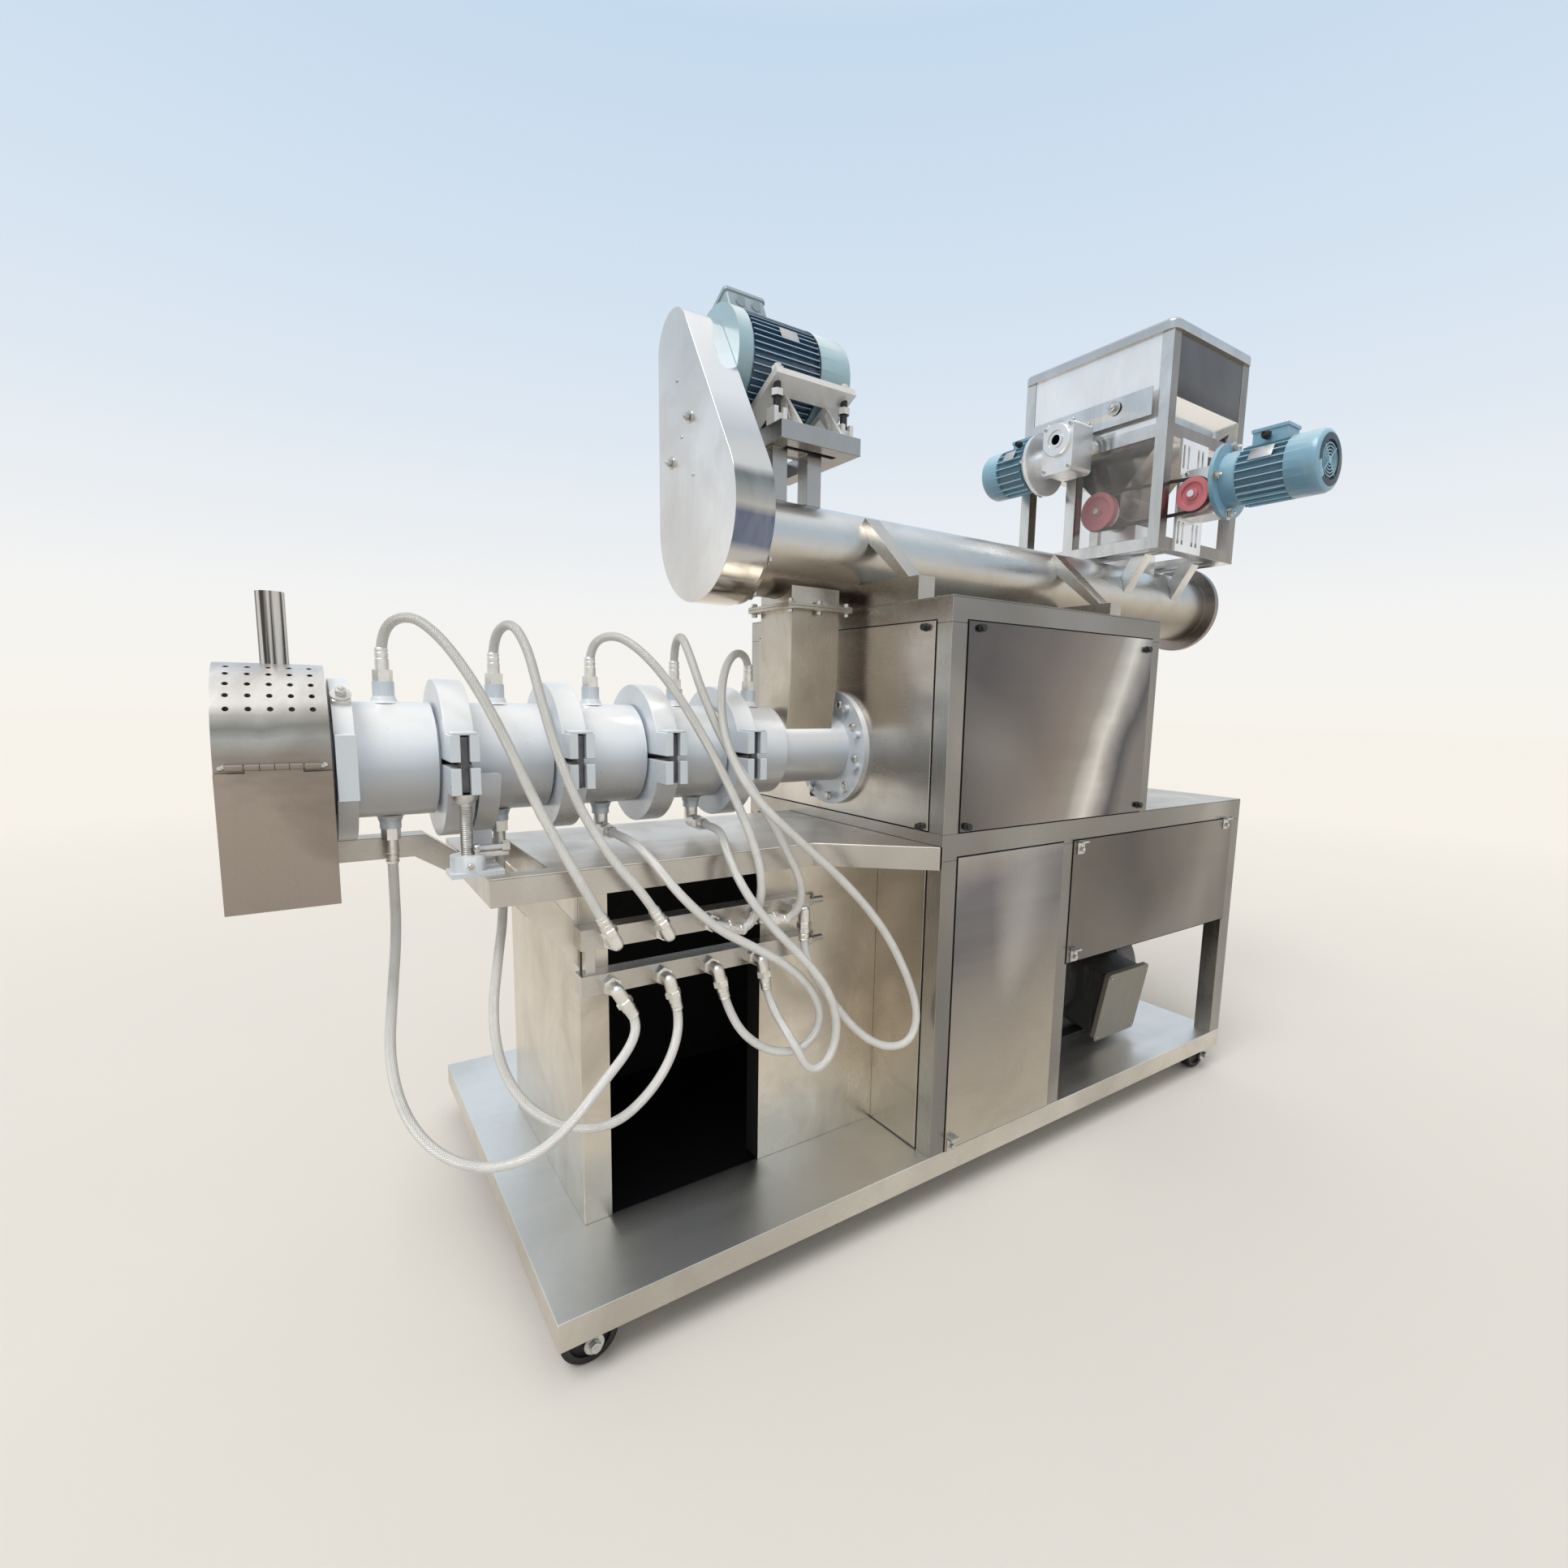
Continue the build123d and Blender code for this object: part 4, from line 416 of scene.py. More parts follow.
finishes = {
    "skid": brushedSteel("skidSteel", (0.72, 0.68, 0.61), along="X", roughness=0.3, drift=0.2, glare=0.3),
    "deck": brushedSteel("deckSteel", (0.84, 0.82, 0.78), along="X", roughness=0.4, drift=0.25,
                         stain=0.15, glare=0.4, shadeBoxes=deckShadeBoxes),
    "tubeX": brushedSteel("tubeSteelAlong", (0.56, 0.53, 0.49), along="X", roughness=0.27, drift=0.3,
                          glare=0.45),
    "tubeZ": brushedSteel("tubeSteelUpright", (0.52, 0.51, 0.48), along="Z", roughness=0.27, drift=0.3,
                          glare=0.45),
    # the cabinet's sheets: painted reflections, highlights and shade from their runs, darker on the front
    "panel": brushedSteel("panelSteel", (0.50, 0.48, 0.45), along="X", roughness=0.25, drift=0.18,
                          stain=0.25, run=panelRun, glare=0.45),
    "frontPanel": brushedSteel("frontPanelSteel", (0.20, 0.19, 0.18), along="X", roughness=0.22,
                               drift=0.12, stain=0.2, run=acrossRun, glare=0.2),
    "bayPanel": brushedSteel("bayPanelSteel", (0.18, 0.17, 0.16), along="X", roughness=0.22, drift=0.12,
                             stain=0.2, run=bayRun, glare=0.15),
    # painted shade: a darker copy of the tube steel for faces that look to the front
    "tubeFront": brushedSteel("tubeSteelShade", (0.30, 0.29, 0.275), along="X", roughness=0.25, drift=0.3,
                              stain=0.25, glare=0.3),
    "panelLeft": brushedSteel("panelSteelDeep", (0.50, 0.47, 0.43), along="Y", roughness=0.25, drift=0.3,
                              stain=0.3, run=sideRun, glare=0.55),
    "stand": brushedSteel("standSteel", (0.74, 0.68, 0.58), along="Z", roughness=0.3, drift=0.25,
                          stain=0.4, run=standRun, glare=0.3),
    "table": brushedSteel("tableSteel", (0.84, 0.79, 0.72), along="X", roughness=0.36, drift=0.2,
                          stain=0.6, dirt=(0.42, 0.35, 0.28)),
    "guard": brushedSteel("guardSteel", (0.36, 0.32, 0.28), along="Z", roughness=0.3, drift=0.15,
                          stain=0.8, dirt=(0.20, 0.165, 0.13), run=guardRun, metallic=0.6),
    # painted shade on the hood's inner skin and the rims of its holes
    "guardInside": brushedSteel("guardInsideSteel", (0.10, 0.085, 0.07), along="Z", roughness=0.45,
                                drift=0.2, stain=0.3),
    # painted reflections: bright and dark stripes down the vent pipe
    "vent": polishedSteel("ventSteel", (0.72, 0.68, 0.62), roughness=0.16, drift=0.3, streak=0.95,
                          deep=(0.045, 0.036, 0.028)),
    "beltGuard": brushedSteel("beltGuardSteel", (0.84, 0.81, 0.77), along="Z", roughness=0.22, drift=0.22,
                              stain=0.5, dirt=(0.60, 0.52, 0.45)),
    "beltRim": polishedSteel("beltGuardRim", (0.74, 0.72, 0.69), roughness=0.1, drift=0.35, run=rimRun),
    "conditioner": brushedSteel("conditionerSteel", (0.70, 0.66, 0.59), along="X", roughness=0.3,
                                drift=0.15, stain=0.3, slope=tubeSlope),
    "conditionerEnd": brushedSteel("conditionerEndSteel", (0.30, 0.27, 0.26), along="Z", roughness=0.28,
                                   drift=0.3, stain=0.3),
    "chute": brushedSteel("chuteSteel", (0.60, 0.55, 0.47), along="Z", roughness=0.28, drift=0.35,
                          stain=0.5, glare=0.3),
    "platform": brushedSteel("platformSteel", (0.44, 0.43, 0.42), along="X", roughness=0.26, drift=0.2,
                             stain=0.2, slope=frameSlope),
    "hopperTube": polishedSteel("hopperTubeSteel", (0.74, 0.73, 0.71), roughness=0.18, drift=0.35),
    # painted shade: a darker copy of the hopper tube for faces that look to the front
    "hopperTubeDeep": polishedSteel("hopperTubeShade", (0.34, 0.31, 0.28), roughness=0.18, drift=0.35),
    "polished": polishedSteel("hopperSteel", (0.93, 0.93, 0.93), roughness=0.12, drift=0.15,
                              metallic=0.7),
    "rim": polishedSteel("hopperRimSteel", (0.60, 0.60, 0.60), roughness=0.2, drift=0.2),
    "bin": polishedSteel("hopperBinSteel", (0.40, 0.38, 0.36), roughness=0.1, drift=0.1, run=binRun),
    "hopperPlate": polishedSteel("hopperPlateSteel", (0.70, 0.71, 0.71), roughness=0.14, drift=0.3),
    # painted reflections and shade on the hopper's front faces, from their run
    "hopperFront": polishedSteel("hopperFrontSteel", (0.40, 0.38, 0.36), roughness=0.1, drift=0.15,
                                 run=hopperRun),
    "barrel": paintedMetal("barrelPaint", (0.64, 0.68, 0.73), roughness=0.3, chips=0.05, grime=0.06,
                           slope=barrelSlope, metallic=0.15),
    "teal": paintedMetal("motorPaint", (0.20, 0.40, 0.54), roughness=0.3, chips=0.3, coat=0.4,
                         slope=tealSlope),
    # fin tips: a painted highlight on the motor paint
    "tealEdge": paintedMetal("finTipHighlight", (0.44, 0.66, 0.79), roughness=0.3, chips=0.3, coat=0.4),
    # fin roots: painted shade on the motor paint
    "tealDeep": paintedMetal("finRootShade", (0.07, 0.16, 0.23), roughness=0.5, chips=0.1, coat=0.1),
    # painted shade in the fan recesses behind the grilles
    "fanDark": paintedMetal("fanRecessShade", (0.02, 0.045, 0.07), roughness=0.5, chips=0.1, coat=0.1),
    "tealRing": paintedMetal("driveMotorRing", (0.34, 0.50, 0.58), roughness=0.3, chips=0.3, coat=0.4,
                             slope=ringSlope),
    "navy": paintedMetal("driveMotorPaint", (0.035, 0.09, 0.17), roughness=0.35, chips=0.3, coat=0.4),
    # drive motor fin tips: a painted highlight on the motor paint
    "navyEdge": paintedMetal("driveFinHighlight", (0.40, 0.56, 0.66), roughness=0.35, chips=0.3, coat=0.3),
    "boxGrey": paintedMetal("terminalBoxPaint", (0.32, 0.41, 0.47), roughness=0.4, chips=0.3),
    "baseMotor": paintedMetal("baseMotorPaint", (0.05, 0.05, 0.05), roughness=0.45, chips=0.5),
    "lid": paintedMetal("boxLidPaint", (0.24, 0.22, 0.18), roughness=0.45, chips=0.4),
    "red": paintedMetal("pulleyPaint", (0.58, 0.17, 0.20), roughness=0.42, chips=0.4),
    "plate": paintedMetal("motorPlatePaint", (0.72, 0.72, 0.71), roughness=0.35, chips=0.4, coat=0.1,
                          metallic=0.3),
    "aluminium": castMetal("gearAluminium", (0.90, 0.91, 0.92), roughness=0.34),
    "label": castMetal("blankPlate", (0.62, 0.62, 0.62), roughness=0.35),
    "zinc": turnedMetal("zincFittings", (0.82, 0.80, 0.76), roughness=0.36, worn=(0.62, 0.58, 0.50)),
    "darkSteel": turnedMetal("clampSteel", (0.13, 0.13, 0.14), roughness=0.36, worn=(0.06, 0.06, 0.06)),
    "boltSteel": turnedMetal("boltSteel", (0.62, 0.61, 0.59), roughness=0.3, worn=(0.27, 0.24, 0.2)),
    "black": blackParts("blackOxide", (0.03, 0.03, 0.032), roughness=0.42, metallic=0.5),
    # near black as painted shade inside the stand and the gear bore; also the dark gaps round the panels
    "dark": blackParts("standInside", (0.012, 0.012, 0.012), roughness=0.85, gloss=0.1),
    "rubber": blackParts("castorRubber", (0.02, 0.02, 0.02), roughness=0.7, gloss=0.3),
    "belt": blackParts("beltRubber", (0.025, 0.02, 0.02), roughness=0.6),
    "glass": clearSheet("clearSheet"),
    "braid": braidedSteel("hoseBraid", wires=16, perMetre=220),
}
print("materials", len(finishes))


def addPiece(shape, name, finish, body=machine, smooth=35):
    mesh = bpy.data.meshes.new(name)
    shape.to_mesh(mesh)
    shape.free()
    mesh.materials.append(finishes[finish])
    mesh.shade_smooth()
    mesh.set_sharp_from_angle(angle=math.radians(smooth))
    piece = bpy.data.objects.new(name, mesh)
    bpy.context.scene.collection.objects.link(piece)
    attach(piece, body)
    return piece


def dress(node, finish, bevel=1.2, body=machine, patches=()):
    # a merged copy of a CAD node with soft edges; a patch is another finish and a test of place and normal
    shape = bmesh.new()
    shape.from_mesh(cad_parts[node].data)
    bmesh.ops.remove_doubles(shape, verts=shape.verts, dist=0.000002)
    bmesh.ops.dissolve_limit(shape, angle_limit=math.radians(0.5), verts=shape.verts, edges=shape.edges)
    for number, (_, covers) in enumerate(patches):
        for face in shape.faces:
            if covers((face.calc_center_median() - datum) / mm, face.normal):
                face.material_index = number + 1
    piece = addPiece(shape, f"{node}_shape", finish, body)
    for other, _ in patches:
        piece.data.materials.append(finishes[other])
    soft = piece.modifiers.new("edges", "BEVEL")
    soft.width = bevel * mm
    soft.segments = 2
    soft.limit_method = "ANGLE"
    soft.angle_limit = math.radians(35)
    soft.harden_normals = True
    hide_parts(node)


# small forms stand on the origin along z; an item is a form, where it sits and which way it points

def soften(shape, edges, width, segments):
    bmesh.ops.bevel(shape, geom=edges, offset=width * mm, segments=segments, profile=0.5,
                    affect="EDGES", material=-1)


def boxForm(size, bevel=1.0):
    shape = bmesh.new()
    bmesh.ops.create_cube(shape, size=1.0)
    bmesh.ops.scale(shape, vec=Vector(size) * mm, verts=shape.verts)
    soften(shape, shape.edges, bevel, 2)
    return shape


def turnedForm(outline, segments=24):
    shape = bmesh.new()
    verts = [shape.verts.new((radius * mm, 0, height * mm)) for radius, height in outline]
    edges = [shape.edges.new(pair) for pair in zip(verts, verts[1:])]
    bmesh.ops.spin(shape, geom=verts + edges, cent=(0, 0, 0), axis=(0, 0, 1), angle=math.tau,
                   steps=segments, use_merge=True)
    bmesh.ops.remove_doubles(shape, verts=shape.verts, dist=0.00001)
    return shape


def shareForm(shares, radius, height, segments=24):
    # a turned form whose outline is given as shares of a radius and a height
    return turnedForm([(wide * radius, tall * height) for wide, tall in shares], segments)


def hexForm(across, height):
    shape = bmesh.new()
    radius = across / 2 / math.cos(math.pi / 6) * mm
    bmesh.ops.create_cone(shape, cap_ends=True, segments=6, radius1=radius, radius2=radius, depth=height * mm)
    bmesh.ops.translate(shape, vec=(0, 0, height / 2 * mm), verts=shape.verts)
    rims = [edge for edge in shape.edges if abs(edge.verts[0].co.z - edge.verts[1].co.z) < 0.0001]
    soften(shape, rims, 0.07 * across, 1)
    return shape


def joined(*forms):
    whole = bmesh.new()
    for form in forms:
        mesh = bpy.data.meshes.new("form")
        form.to_mesh(mesh)
        form.free()
        whole.from_mesh(mesh)
        bpy.data.meshes.remove(mesh)
    return whole


def lifted(form, height):
    bmesh.ops.translate(form, vec=(0, 0, height * mm), verts=form.verts)
    return form


def boltForm(across, washer=1.0, stud=0.0):
    # washer, hexagon and a rounded stud end, sized by the width across the flats
    forms = [lifted(hexForm(across, 0.62 * across), 0.14 * across),
             shareForm([(0, 0), (washer, 0), (washer, 0.1), (0, 0.14)], across, across)]
    if stud:
        top, radius = 0.76 * across + stud, 0.3 * across
        forms.append(turnedForm([(radius, 0), (radius, top - 1.5), (0.24 * across, top), (0, top)], 12))
    return joined(*forms)


def socketForm(radius, height):
    # cap screw with its hexagon recess
    return joined(shareForm([(0, 0), (1, 0), (1, 0.85), (0.9, 1), (0.55, 1)], radius, height, 20),
                  shareForm([(0.55, 1), (0.5, 0.45), (0, 0.4)], radius, height, 6))


def knobForm(radius, height):
    return shareForm([(0, 0), (1.15, 0), (1.15, 0.16), (0.75, 0.3), (0.85, 0.55), (1, 0.72), (0.92, 0.95),
                      (0.6, 1), (0, 1.04)], radius, height, 16)


def capForm(radius, height):
    # low domed head
    return shareForm([(0, 0), (1, 0), (1, 0.45), (0.85, 0.8), (0.45, 1), (0, 1.02)], radius, height, 18)


def around(centre, axis, radius, count, start=0):
    # places on a circle about an axis through the centre
    first = Vector(axis).orthogonal().normalized()
    places = []
    for number in range(count):
        turn = Matrix.Rotation(math.radians(start + 360 * number / count), 3, Vector(axis))
        places.append(tuple(Vector(centre) + turn @ first * radius))
    return places


def addItems(name, finish, items, body=machine):
    # each form is turned so that its z points along the item's direction, then set in place
    placed = []
    for form, place, heading in items:
        turn = Vector(heading).to_track_quat("Z", "Y").to_matrix().to_4x4()
        bmesh.ops.transform(form, matrix=Matrix.Translation(at(*place)) @ turn, verts=form.verts)
        placed.append(form)
    shape = joined(*placed)
    bmesh.ops.recalc_face_normals(shape, faces=shape.faces)
    return addPiece(shape, name, finish, body)


# stage, lights and camera

studio = {
    "floor": (0.79, 0.77, 0.735),
    "farFloor": (0.88, 0.85, 0.80),
    "fade": (2.4, 7.5),
    "floorSize": 90.0,
    "sky": [(0.0, (0.93, 0.90, 0.85)), (0.1, (0.90, 0.90, 0.89)), (0.32, (0.72, 0.80, 0.89)),
            (0.62, (0.56, 0.70, 0.85)), (0.82, (0.90, 0.93, 0.96)), (1.0, (1.0, 1.0, 1.0))],
    "ambient": (0.66, 0.65, 0.63),
    "sunColour": (1.0, 0.98, 0.95),
    "sunStrength": 1.5,
    "sunAngle": 32,
    "sunFrom": (-0.55, -0.25, 1.0),
    "sunPlace": (0, 0, 4),
}
viewpoint = {
    "place": (-1.2387, -1.4819, 1.115),
    "turn": (82.343, -1.062, -34.236),
    "sensor": 36,
    "lens": 17.134,
    "shift": (-0.01207, 0.0094),
}


def setStage():
    shape = bmesh.new()
    bmesh.ops.create_grid(shape, x_segments=1, y_segments=1, size=studio["floorSize"] / 2)
    mesh = bpy.data.meshes.new("floor")
    shape.to_mesh(mesh)
    shape.free()
    mesh.materials.append(plainGround("floorFinish", studio["floor"], studio["farFloor"], studio["fade"]))
    floor = bpy.data.objects.new("floor", mesh)
    bpy.context.scene.collection.objects.link(floor)
    floor.location.z = cadBox[0][2]


def setLight():
    # a pale sky for the camera and for reflections, and an even warm white as light on the machine
    world = bpy.data.worlds.new("studio")
    bpy.context.scene.world = world
    world.use_nodes = True
    sky = Nodes(world.node_tree)
    height = sky.split(sky.node("ShaderNodeTexCoord", {}, {}, "Generated"), "Z")
    shade = sky.node("ShaderNodeValToRGB", {"stops": studio["sky"]}, {"Fac": height})
    rays = ("Is Camera Ray", "Is Glossy Ray", "Is Transmission Ray")
    camera, glossy, transmission = [sky.node("ShaderNodeLightPath", {}, {}, ray) for ray in rays]
    direct = sky.sums("MAXIMUM", camera, sky.sums("MAXIMUM", glossy, transmission))
    background = world.node_tree.nodes["Background"]
    sky.plug(background.inputs["Color"], sky.tint(direct, studio["ambient"], shade))
    data = bpy.data.lights.new("sun", "SUN")
    data.energy = studio["sunStrength"]
    data.angle = math.radians(studio["sunAngle"])
    data.color = studio["sunColour"]
    lamp = bpy.data.objects.new("sun", data)
    lamp.rotation_euler = (-Vector(studio["sunFrom"])).to_track_quat("-Z", "Y").to_euler()
    lamp.location = studio["sunPlace"]
    bpy.context.scene.collection.objects.link(lamp)


def setCamera():
    data = bpy.data.cameras.new("camera")
    data.sensor_width = viewpoint["sensor"]
    data.lens = viewpoint["lens"]
    data.shift_x, data.shift_y = viewpoint["shift"]
    camera = bpy.data.objects.new("camera", data)
    camera.location = viewpoint["place"]
    camera.rotation_euler = [math.radians(angle) for angle in viewpoint["turn"]]
    bpy.context.scene.collection.objects.link(camera)
    bpy.context.scene.camera = camera
    bpy.context.scene.view_settings.view_transform = "Standard"


setStage()
setLight()
setCamera()
print("stage, lights and camera")

# water hoses, point by point in millimetres from the datum

hoseSize = {"radius": 8.5, "sides": 12, "elbowReach": 42, "portX": -655, "portPitch": 98, "portY": 118}
upperZ = 567
lowerZ = 482


def elbowRun(port, z, angle, beyond):
    # the last two points of a hose, straight out of its elbow on a manifold
    turn = math.radians(angle)
    x = hoseSize["portX"] + hoseSize["portPitch"] * port
    reaches = (hoseSize["elbowReach"] + beyond, hoseSize["elbowReach"])
    return [(x + reach * math.sin(turn), hoseSize["portY"], z + reach * math.cos(turn)) for reach in reaches]


routes = {
    "hose_top_1": [
        (-963, 380, 1046), (-963, 380, 1096), (-925, 338, 1122), (-885, 290, 1085),
        (-845, 238, 1010), (-808, 190, 915), (-776, 158, 820), (-738, 134, 733),
        *elbowRun(0, upperZ, -27, 50)],
    "hose_top_2": [
        (-784, 380, 1046), (-784, 380, 1094), (-762, 336, 1122), (-748, 282, 1075),
        (-742, 232, 990), (-730, 190, 900), (-704, 158, 805), (-656, 130, 712),
        *elbowRun(1, upperZ, -30, 48)],
    "hose_top_3": [
        (-605, 380, 1046), (-605, 380, 1090), (-570, 340, 1112), (-530, 288, 1075),
        (-488, 232, 1000), (-450, 178, 905), (-418, 132, 810), (-388, 102, 715), (-374, 92, 630),
        *elbowRun(2, upperZ, 105, 30)],
    "hose_top_4": [
        (-426, 380, 1046), (-426, 380, 1094), (-432, 334, 1120), (-436, 282, 1072),
        (-434, 225, 990), (-412, 172, 895), (-368, 124, 800), (-322, 96, 705), (-284, 86, 620),
        *elbowRun(3, upperZ, 100, 30)],
    "hose_top_5": [
        (-247, 380, 1046), (-247, 380, 1078), (-296, 346, 1092), (-356, 288, 1053),
        (-410, 204, 981), (-428, 143, 896), (-400, 88, 808), (-312, 64, 723), (-205, 54, 630),
        (-118, 40, 530), (-58, 32, 425), (-22, 28, 330), (-40, 30, 268), (-95, 44, 262),
        (-155, 64, 300), (-208, 86, 372), *elbowRun(4, upperZ, 180, 60)],
    "hose_bottom_1": [
        (-963, 380, 712), (-963, 380, 652), (-966, 350, 575), (-982, 300, 480), (-996, 256, 390),
        (-984, 208, 310), (-944, 160, 252), (-880, 120, 226), (-812, 92, 238), (-752, 78, 284),
        (-700, 78, 340), (-640, 96, 384), *elbowRun(0, lowerZ, 150, 32)],
    "hose_bottom_2": [
        (-784, 380, 712), (-784, 380, 664), (-790, 338, 592), (-815, 282, 520), (-836, 245, 430),
        (-832, 208, 345), (-796, 168, 278), (-735, 130, 242), (-668, 102, 245), (-610, 88, 292),
        (-566, 88, 350), *elbowRun(1, lowerZ, 165, 40)],
    "hose_bottom_3": [
        (-589, 328, 726), (-589, 262, 726), (-586, 202, 722), (-575, 150, 700), (-540, 112, 640),
        (-480, 84, 575), (-405, 66, 530), (-330, 58, 480), (-272, 58, 415), (-254, 62, 350),
        (-290, 72, 298), (-350, 88, 300), (-412, 98, 346), *elbowRun(2, lowerZ, 165, 40)],
    "hose_bottom_4": [
        (-388, 328, 726), (-388, 262, 726), (-404, 204, 722), (-424, 150, 702), (-418, 100, 640),
        (-375, 66, 568), (-310, 44, 498), (-256, 34, 425), (-234, 32, 345), (-254, 36, 278),
        (-300, 38, 268), (-328, 50, 330), *elbowRun(3, lowerZ, 170, 46)],
}


def splineOf(name, points):
    curve = bpy.data.curves.new(name, "CURVE")
    curve.dimensions = "3D"
    curve.resolution_u = 10
    line = curve.splines.new("NURBS")
    line.points.add(len(points) - 1)
    for point, place in zip(line.points, points):
        point.co = (*at(*place), 1)
    line.order_u = 3
    line.use_endpoint_u = True
    return curve


def pointsAlong(curve):
    # the smooth line itself, read from a curve without thickness
    holder = bpy.data.objects.new("holder", curve)
    mesh = bpy.data.meshes.new_from_object(holder)
    found = [vertex.co.copy() for vertex in mesh.vertices]
    bpy.data.meshes.remove(mesh)
    bpy.data.objects.remove(holder)
    return found


def sweepTube(path, radius, sides):
    # a ring is carried along the path; the map's second value is the length in metres
    shape = bmesh.new()
    layer = shape.loops.layers.uv.new("length")
    heading = (path[1] - path[0]).normalized()
    side = heading.orthogonal().normalized()
    ring = bmesh.ops.create_circle(shape, segments=sides, radius=radius)["verts"]
    basis = Matrix((side, heading.cross(side), heading)).transposed()
    bmesh.ops.transform(shape, matrix=Matrix.Translation(path[0]) @ basis.to_4x4(), verts=ring)
    edges = list({edge for vertex in ring for edge in vertex.link_edges})
    travelled = 0.0
    for number in range(1, len(path)):
        before = path[number - 1]
        after = path[number]
        ahead = path[min(number + 1, len(path) - 1)]
        step = after - before
        newHeading = (ahead - before).normalized() if number < len(path) - 1 else step.normalized()
        grown = bmesh.ops.extrude_edge_only(shape, edges=edges)["geom"]
        verts = [item for item in grown if isinstance(item, bmesh.types.BMVert)]
        edges = [item for item in grown if isinstance(item, bmesh.types.BMEdge)]
        edges = [edge for edge in edges if all(vertex in verts for vertex in edge.verts)]
        turn = heading.rotation_difference(newHeading).to_matrix().to_4x4()
        spin = Matrix.Translation(after) @ turn @ Matrix.Translation(-before)
        bmesh.ops.transform(shape, matrix=spin, verts=verts)
        heading = newHeading
        for face in {face for vertex in verts for face in vertex.link_faces}:
            for loop in face.loops:
                far = loop.vert in verts
                loop[layer].uv = (0.0, travelled + (step.length if far else 0.0))
        travelled += step.length
    return shape, layer, travelled


def wrapMap(shape, layer, sides):
    # the map's first value goes once round the tube
    for face in shape.faces:
        turns = [loop.vert.index % sides / sides for loop in face.loops]
        for loop, turn in zip(face.loops, turns):
            loop[layer].uv.x = turn + 1.0 if max(turns) - turn > 0.5 else turn


def addHoses():
    for name, points in routes.items():
        path = pointsAlong(splineOf(name, points))
        shape, layer, length = sweepTube(path, hoseSize["radius"] * mm, hoseSize["sides"])
        shape.verts.index_update()
        wrapMap(shape, layer, hoseSize["sides"])
        bmesh.ops.recalc_face_normals(shape, faces=shape.faces)
        piece = addPiece(shape, f"{name}_braid", "braid", smooth=80)
        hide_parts(name)
        print(name, round(length, 3))


addHoses()
print("hoses")

# CAD nodes with one finish

plainNodes = {
    "table_frame": "tubeX", "guard_arm": "tubeX", "motor_platform": "platform", "manifolds": "tubeX",
    "conditioner_saddles": "tubeX", "upper_front_panel": "frontPanel", "lower_front_panel": "panel",
    "bay_front_panel": "bayPanel", "rear_panels": "panel", "table_top": "table", "table_gussets": "table",
    "base_deck": "deck", "base_frame": "skid", "upper_chute": "chute", "lower_chute": "chute",
    "hopper_rim": "rim", "hopper_bin": "bin", "hopper_throat": "polished", "barrel_sections": "barrel",
    "feed_section": "barrel", "barrel_clamps": "barrel", "die_head": "barrel", "barrel_supports": "barrel",
    "clamp_bolts": "darkSteel", "castor_forks": "black", "hose_fittings": "zinc",
    "feeder_shaft": "boltSteel", "feeder_belt": "belt", "hopper_window": "glass",
}

# where a finish changes on a node, and where the motors lie, in millimetres from the datum
barrelAxis = (380, 876)
standRoom = {"x": (-693, -4), "y": (202.5, 700), "top": 643}
guardZones = {"skin": 6, "top": 1030, "vent": (-1112, 380), "ventRadius": 22, "ventFoot": 1033}
plateStuds = {"x": (-208, -32), "y": 335, "z": (1590, 1667), "reach": 9}
motorLid = 118
conditionerEnd = 1262
hopperPlate = 918
castorPlaces = {"x": {"left": -743, "right": 1167}, "y": (48, 957), "axle": -72, "hub": 34}
driveMotor = {
    "lies": "x", "axis": (478.5, 1723.3), "fins": (-241, -73), "tips": 110, "shields": (-241.5, -72.5),
    "lean": math.radians(25), "plateEdge": (317, 1675), "boxRise": 205,
}
agitatorMotor = {
    "lies": "y", "axis": (838, 1708), "fins": (512, 608), "tips": 70, "deep": 7, "gearbox": 485,
    "fan": (664, 44), "bore": (395, 1748), "boreRadius": 14.5, "boreEnd": 842, "boreFace": 830,
}
feederMotor = {
    "lies": "y", "axis": (1060, 1601), "fins": (-139, -15), "tips": 77, "deep": 8, "gearbox": 38,
    "fan": (-203, 49), "slottedPlate": 136.5,
}


def alongMotor(place, motor):
    return place.x if motor["lies"] == "x" else place.y


def offAxis(place, motor):
    across, height = motor["axis"]
    return Vector(((place.y if motor["lies"] == "x" else place.x) - across, place.z - height)).length


def betweenFins(place, motor):
    low, high = motor["fins"]
    return low < alongMotor(place, motor) < high


def finTips(motor):
    # the thin outer faces of the fins, between the shield and the cowl, which take a painted highlight
    return lambda place, normal: (betweenFins(place, motor) and abs(alongMotor(normal, motor)) < 0.1
                                  and abs(offAxis(place, motor) - motor["tips"]) < 0.4)


def finRoots(motor):
    # painted shade: the fin roots, deep between the fins, go dark
    return lambda place, normal: (betweenFins(place, motor)
                                  and offAxis(place, motor) < motor["tips"] - motor["deep"] + 0.6)


def facesFront(place, normal):
    # faces that look to the front, which get darker patches as painted shade
    return normal.y < -0.9


def insideStand(place, normal):
    # painted shade: the stand's inner walls below its top go near black
    (x0, x1), (y0, y1) = standRoom["x"], standRoom["y"]
    return x0 < place.x < x1 and y0 < place.y < y1 and place.z < standRoom["top"]


def insideGuard(place, normal):
    # the hood's inner skin and the rims of its holes, darkened as painted shade
    outward = (place.y - barrelAxis[0]) * normal.y + (place.z - barrelAxis[1]) * normal.z
    return abs(normal.x) < 0.5 and outward < guardZones["skin"] and place.z < guardZones["top"]


def onVent(place, normal):
    away = (place.xy - Vector(guardZones["vent"])).length
    return place.z > guardZones["ventFoot"] and away < guardZones["ventRadius"]


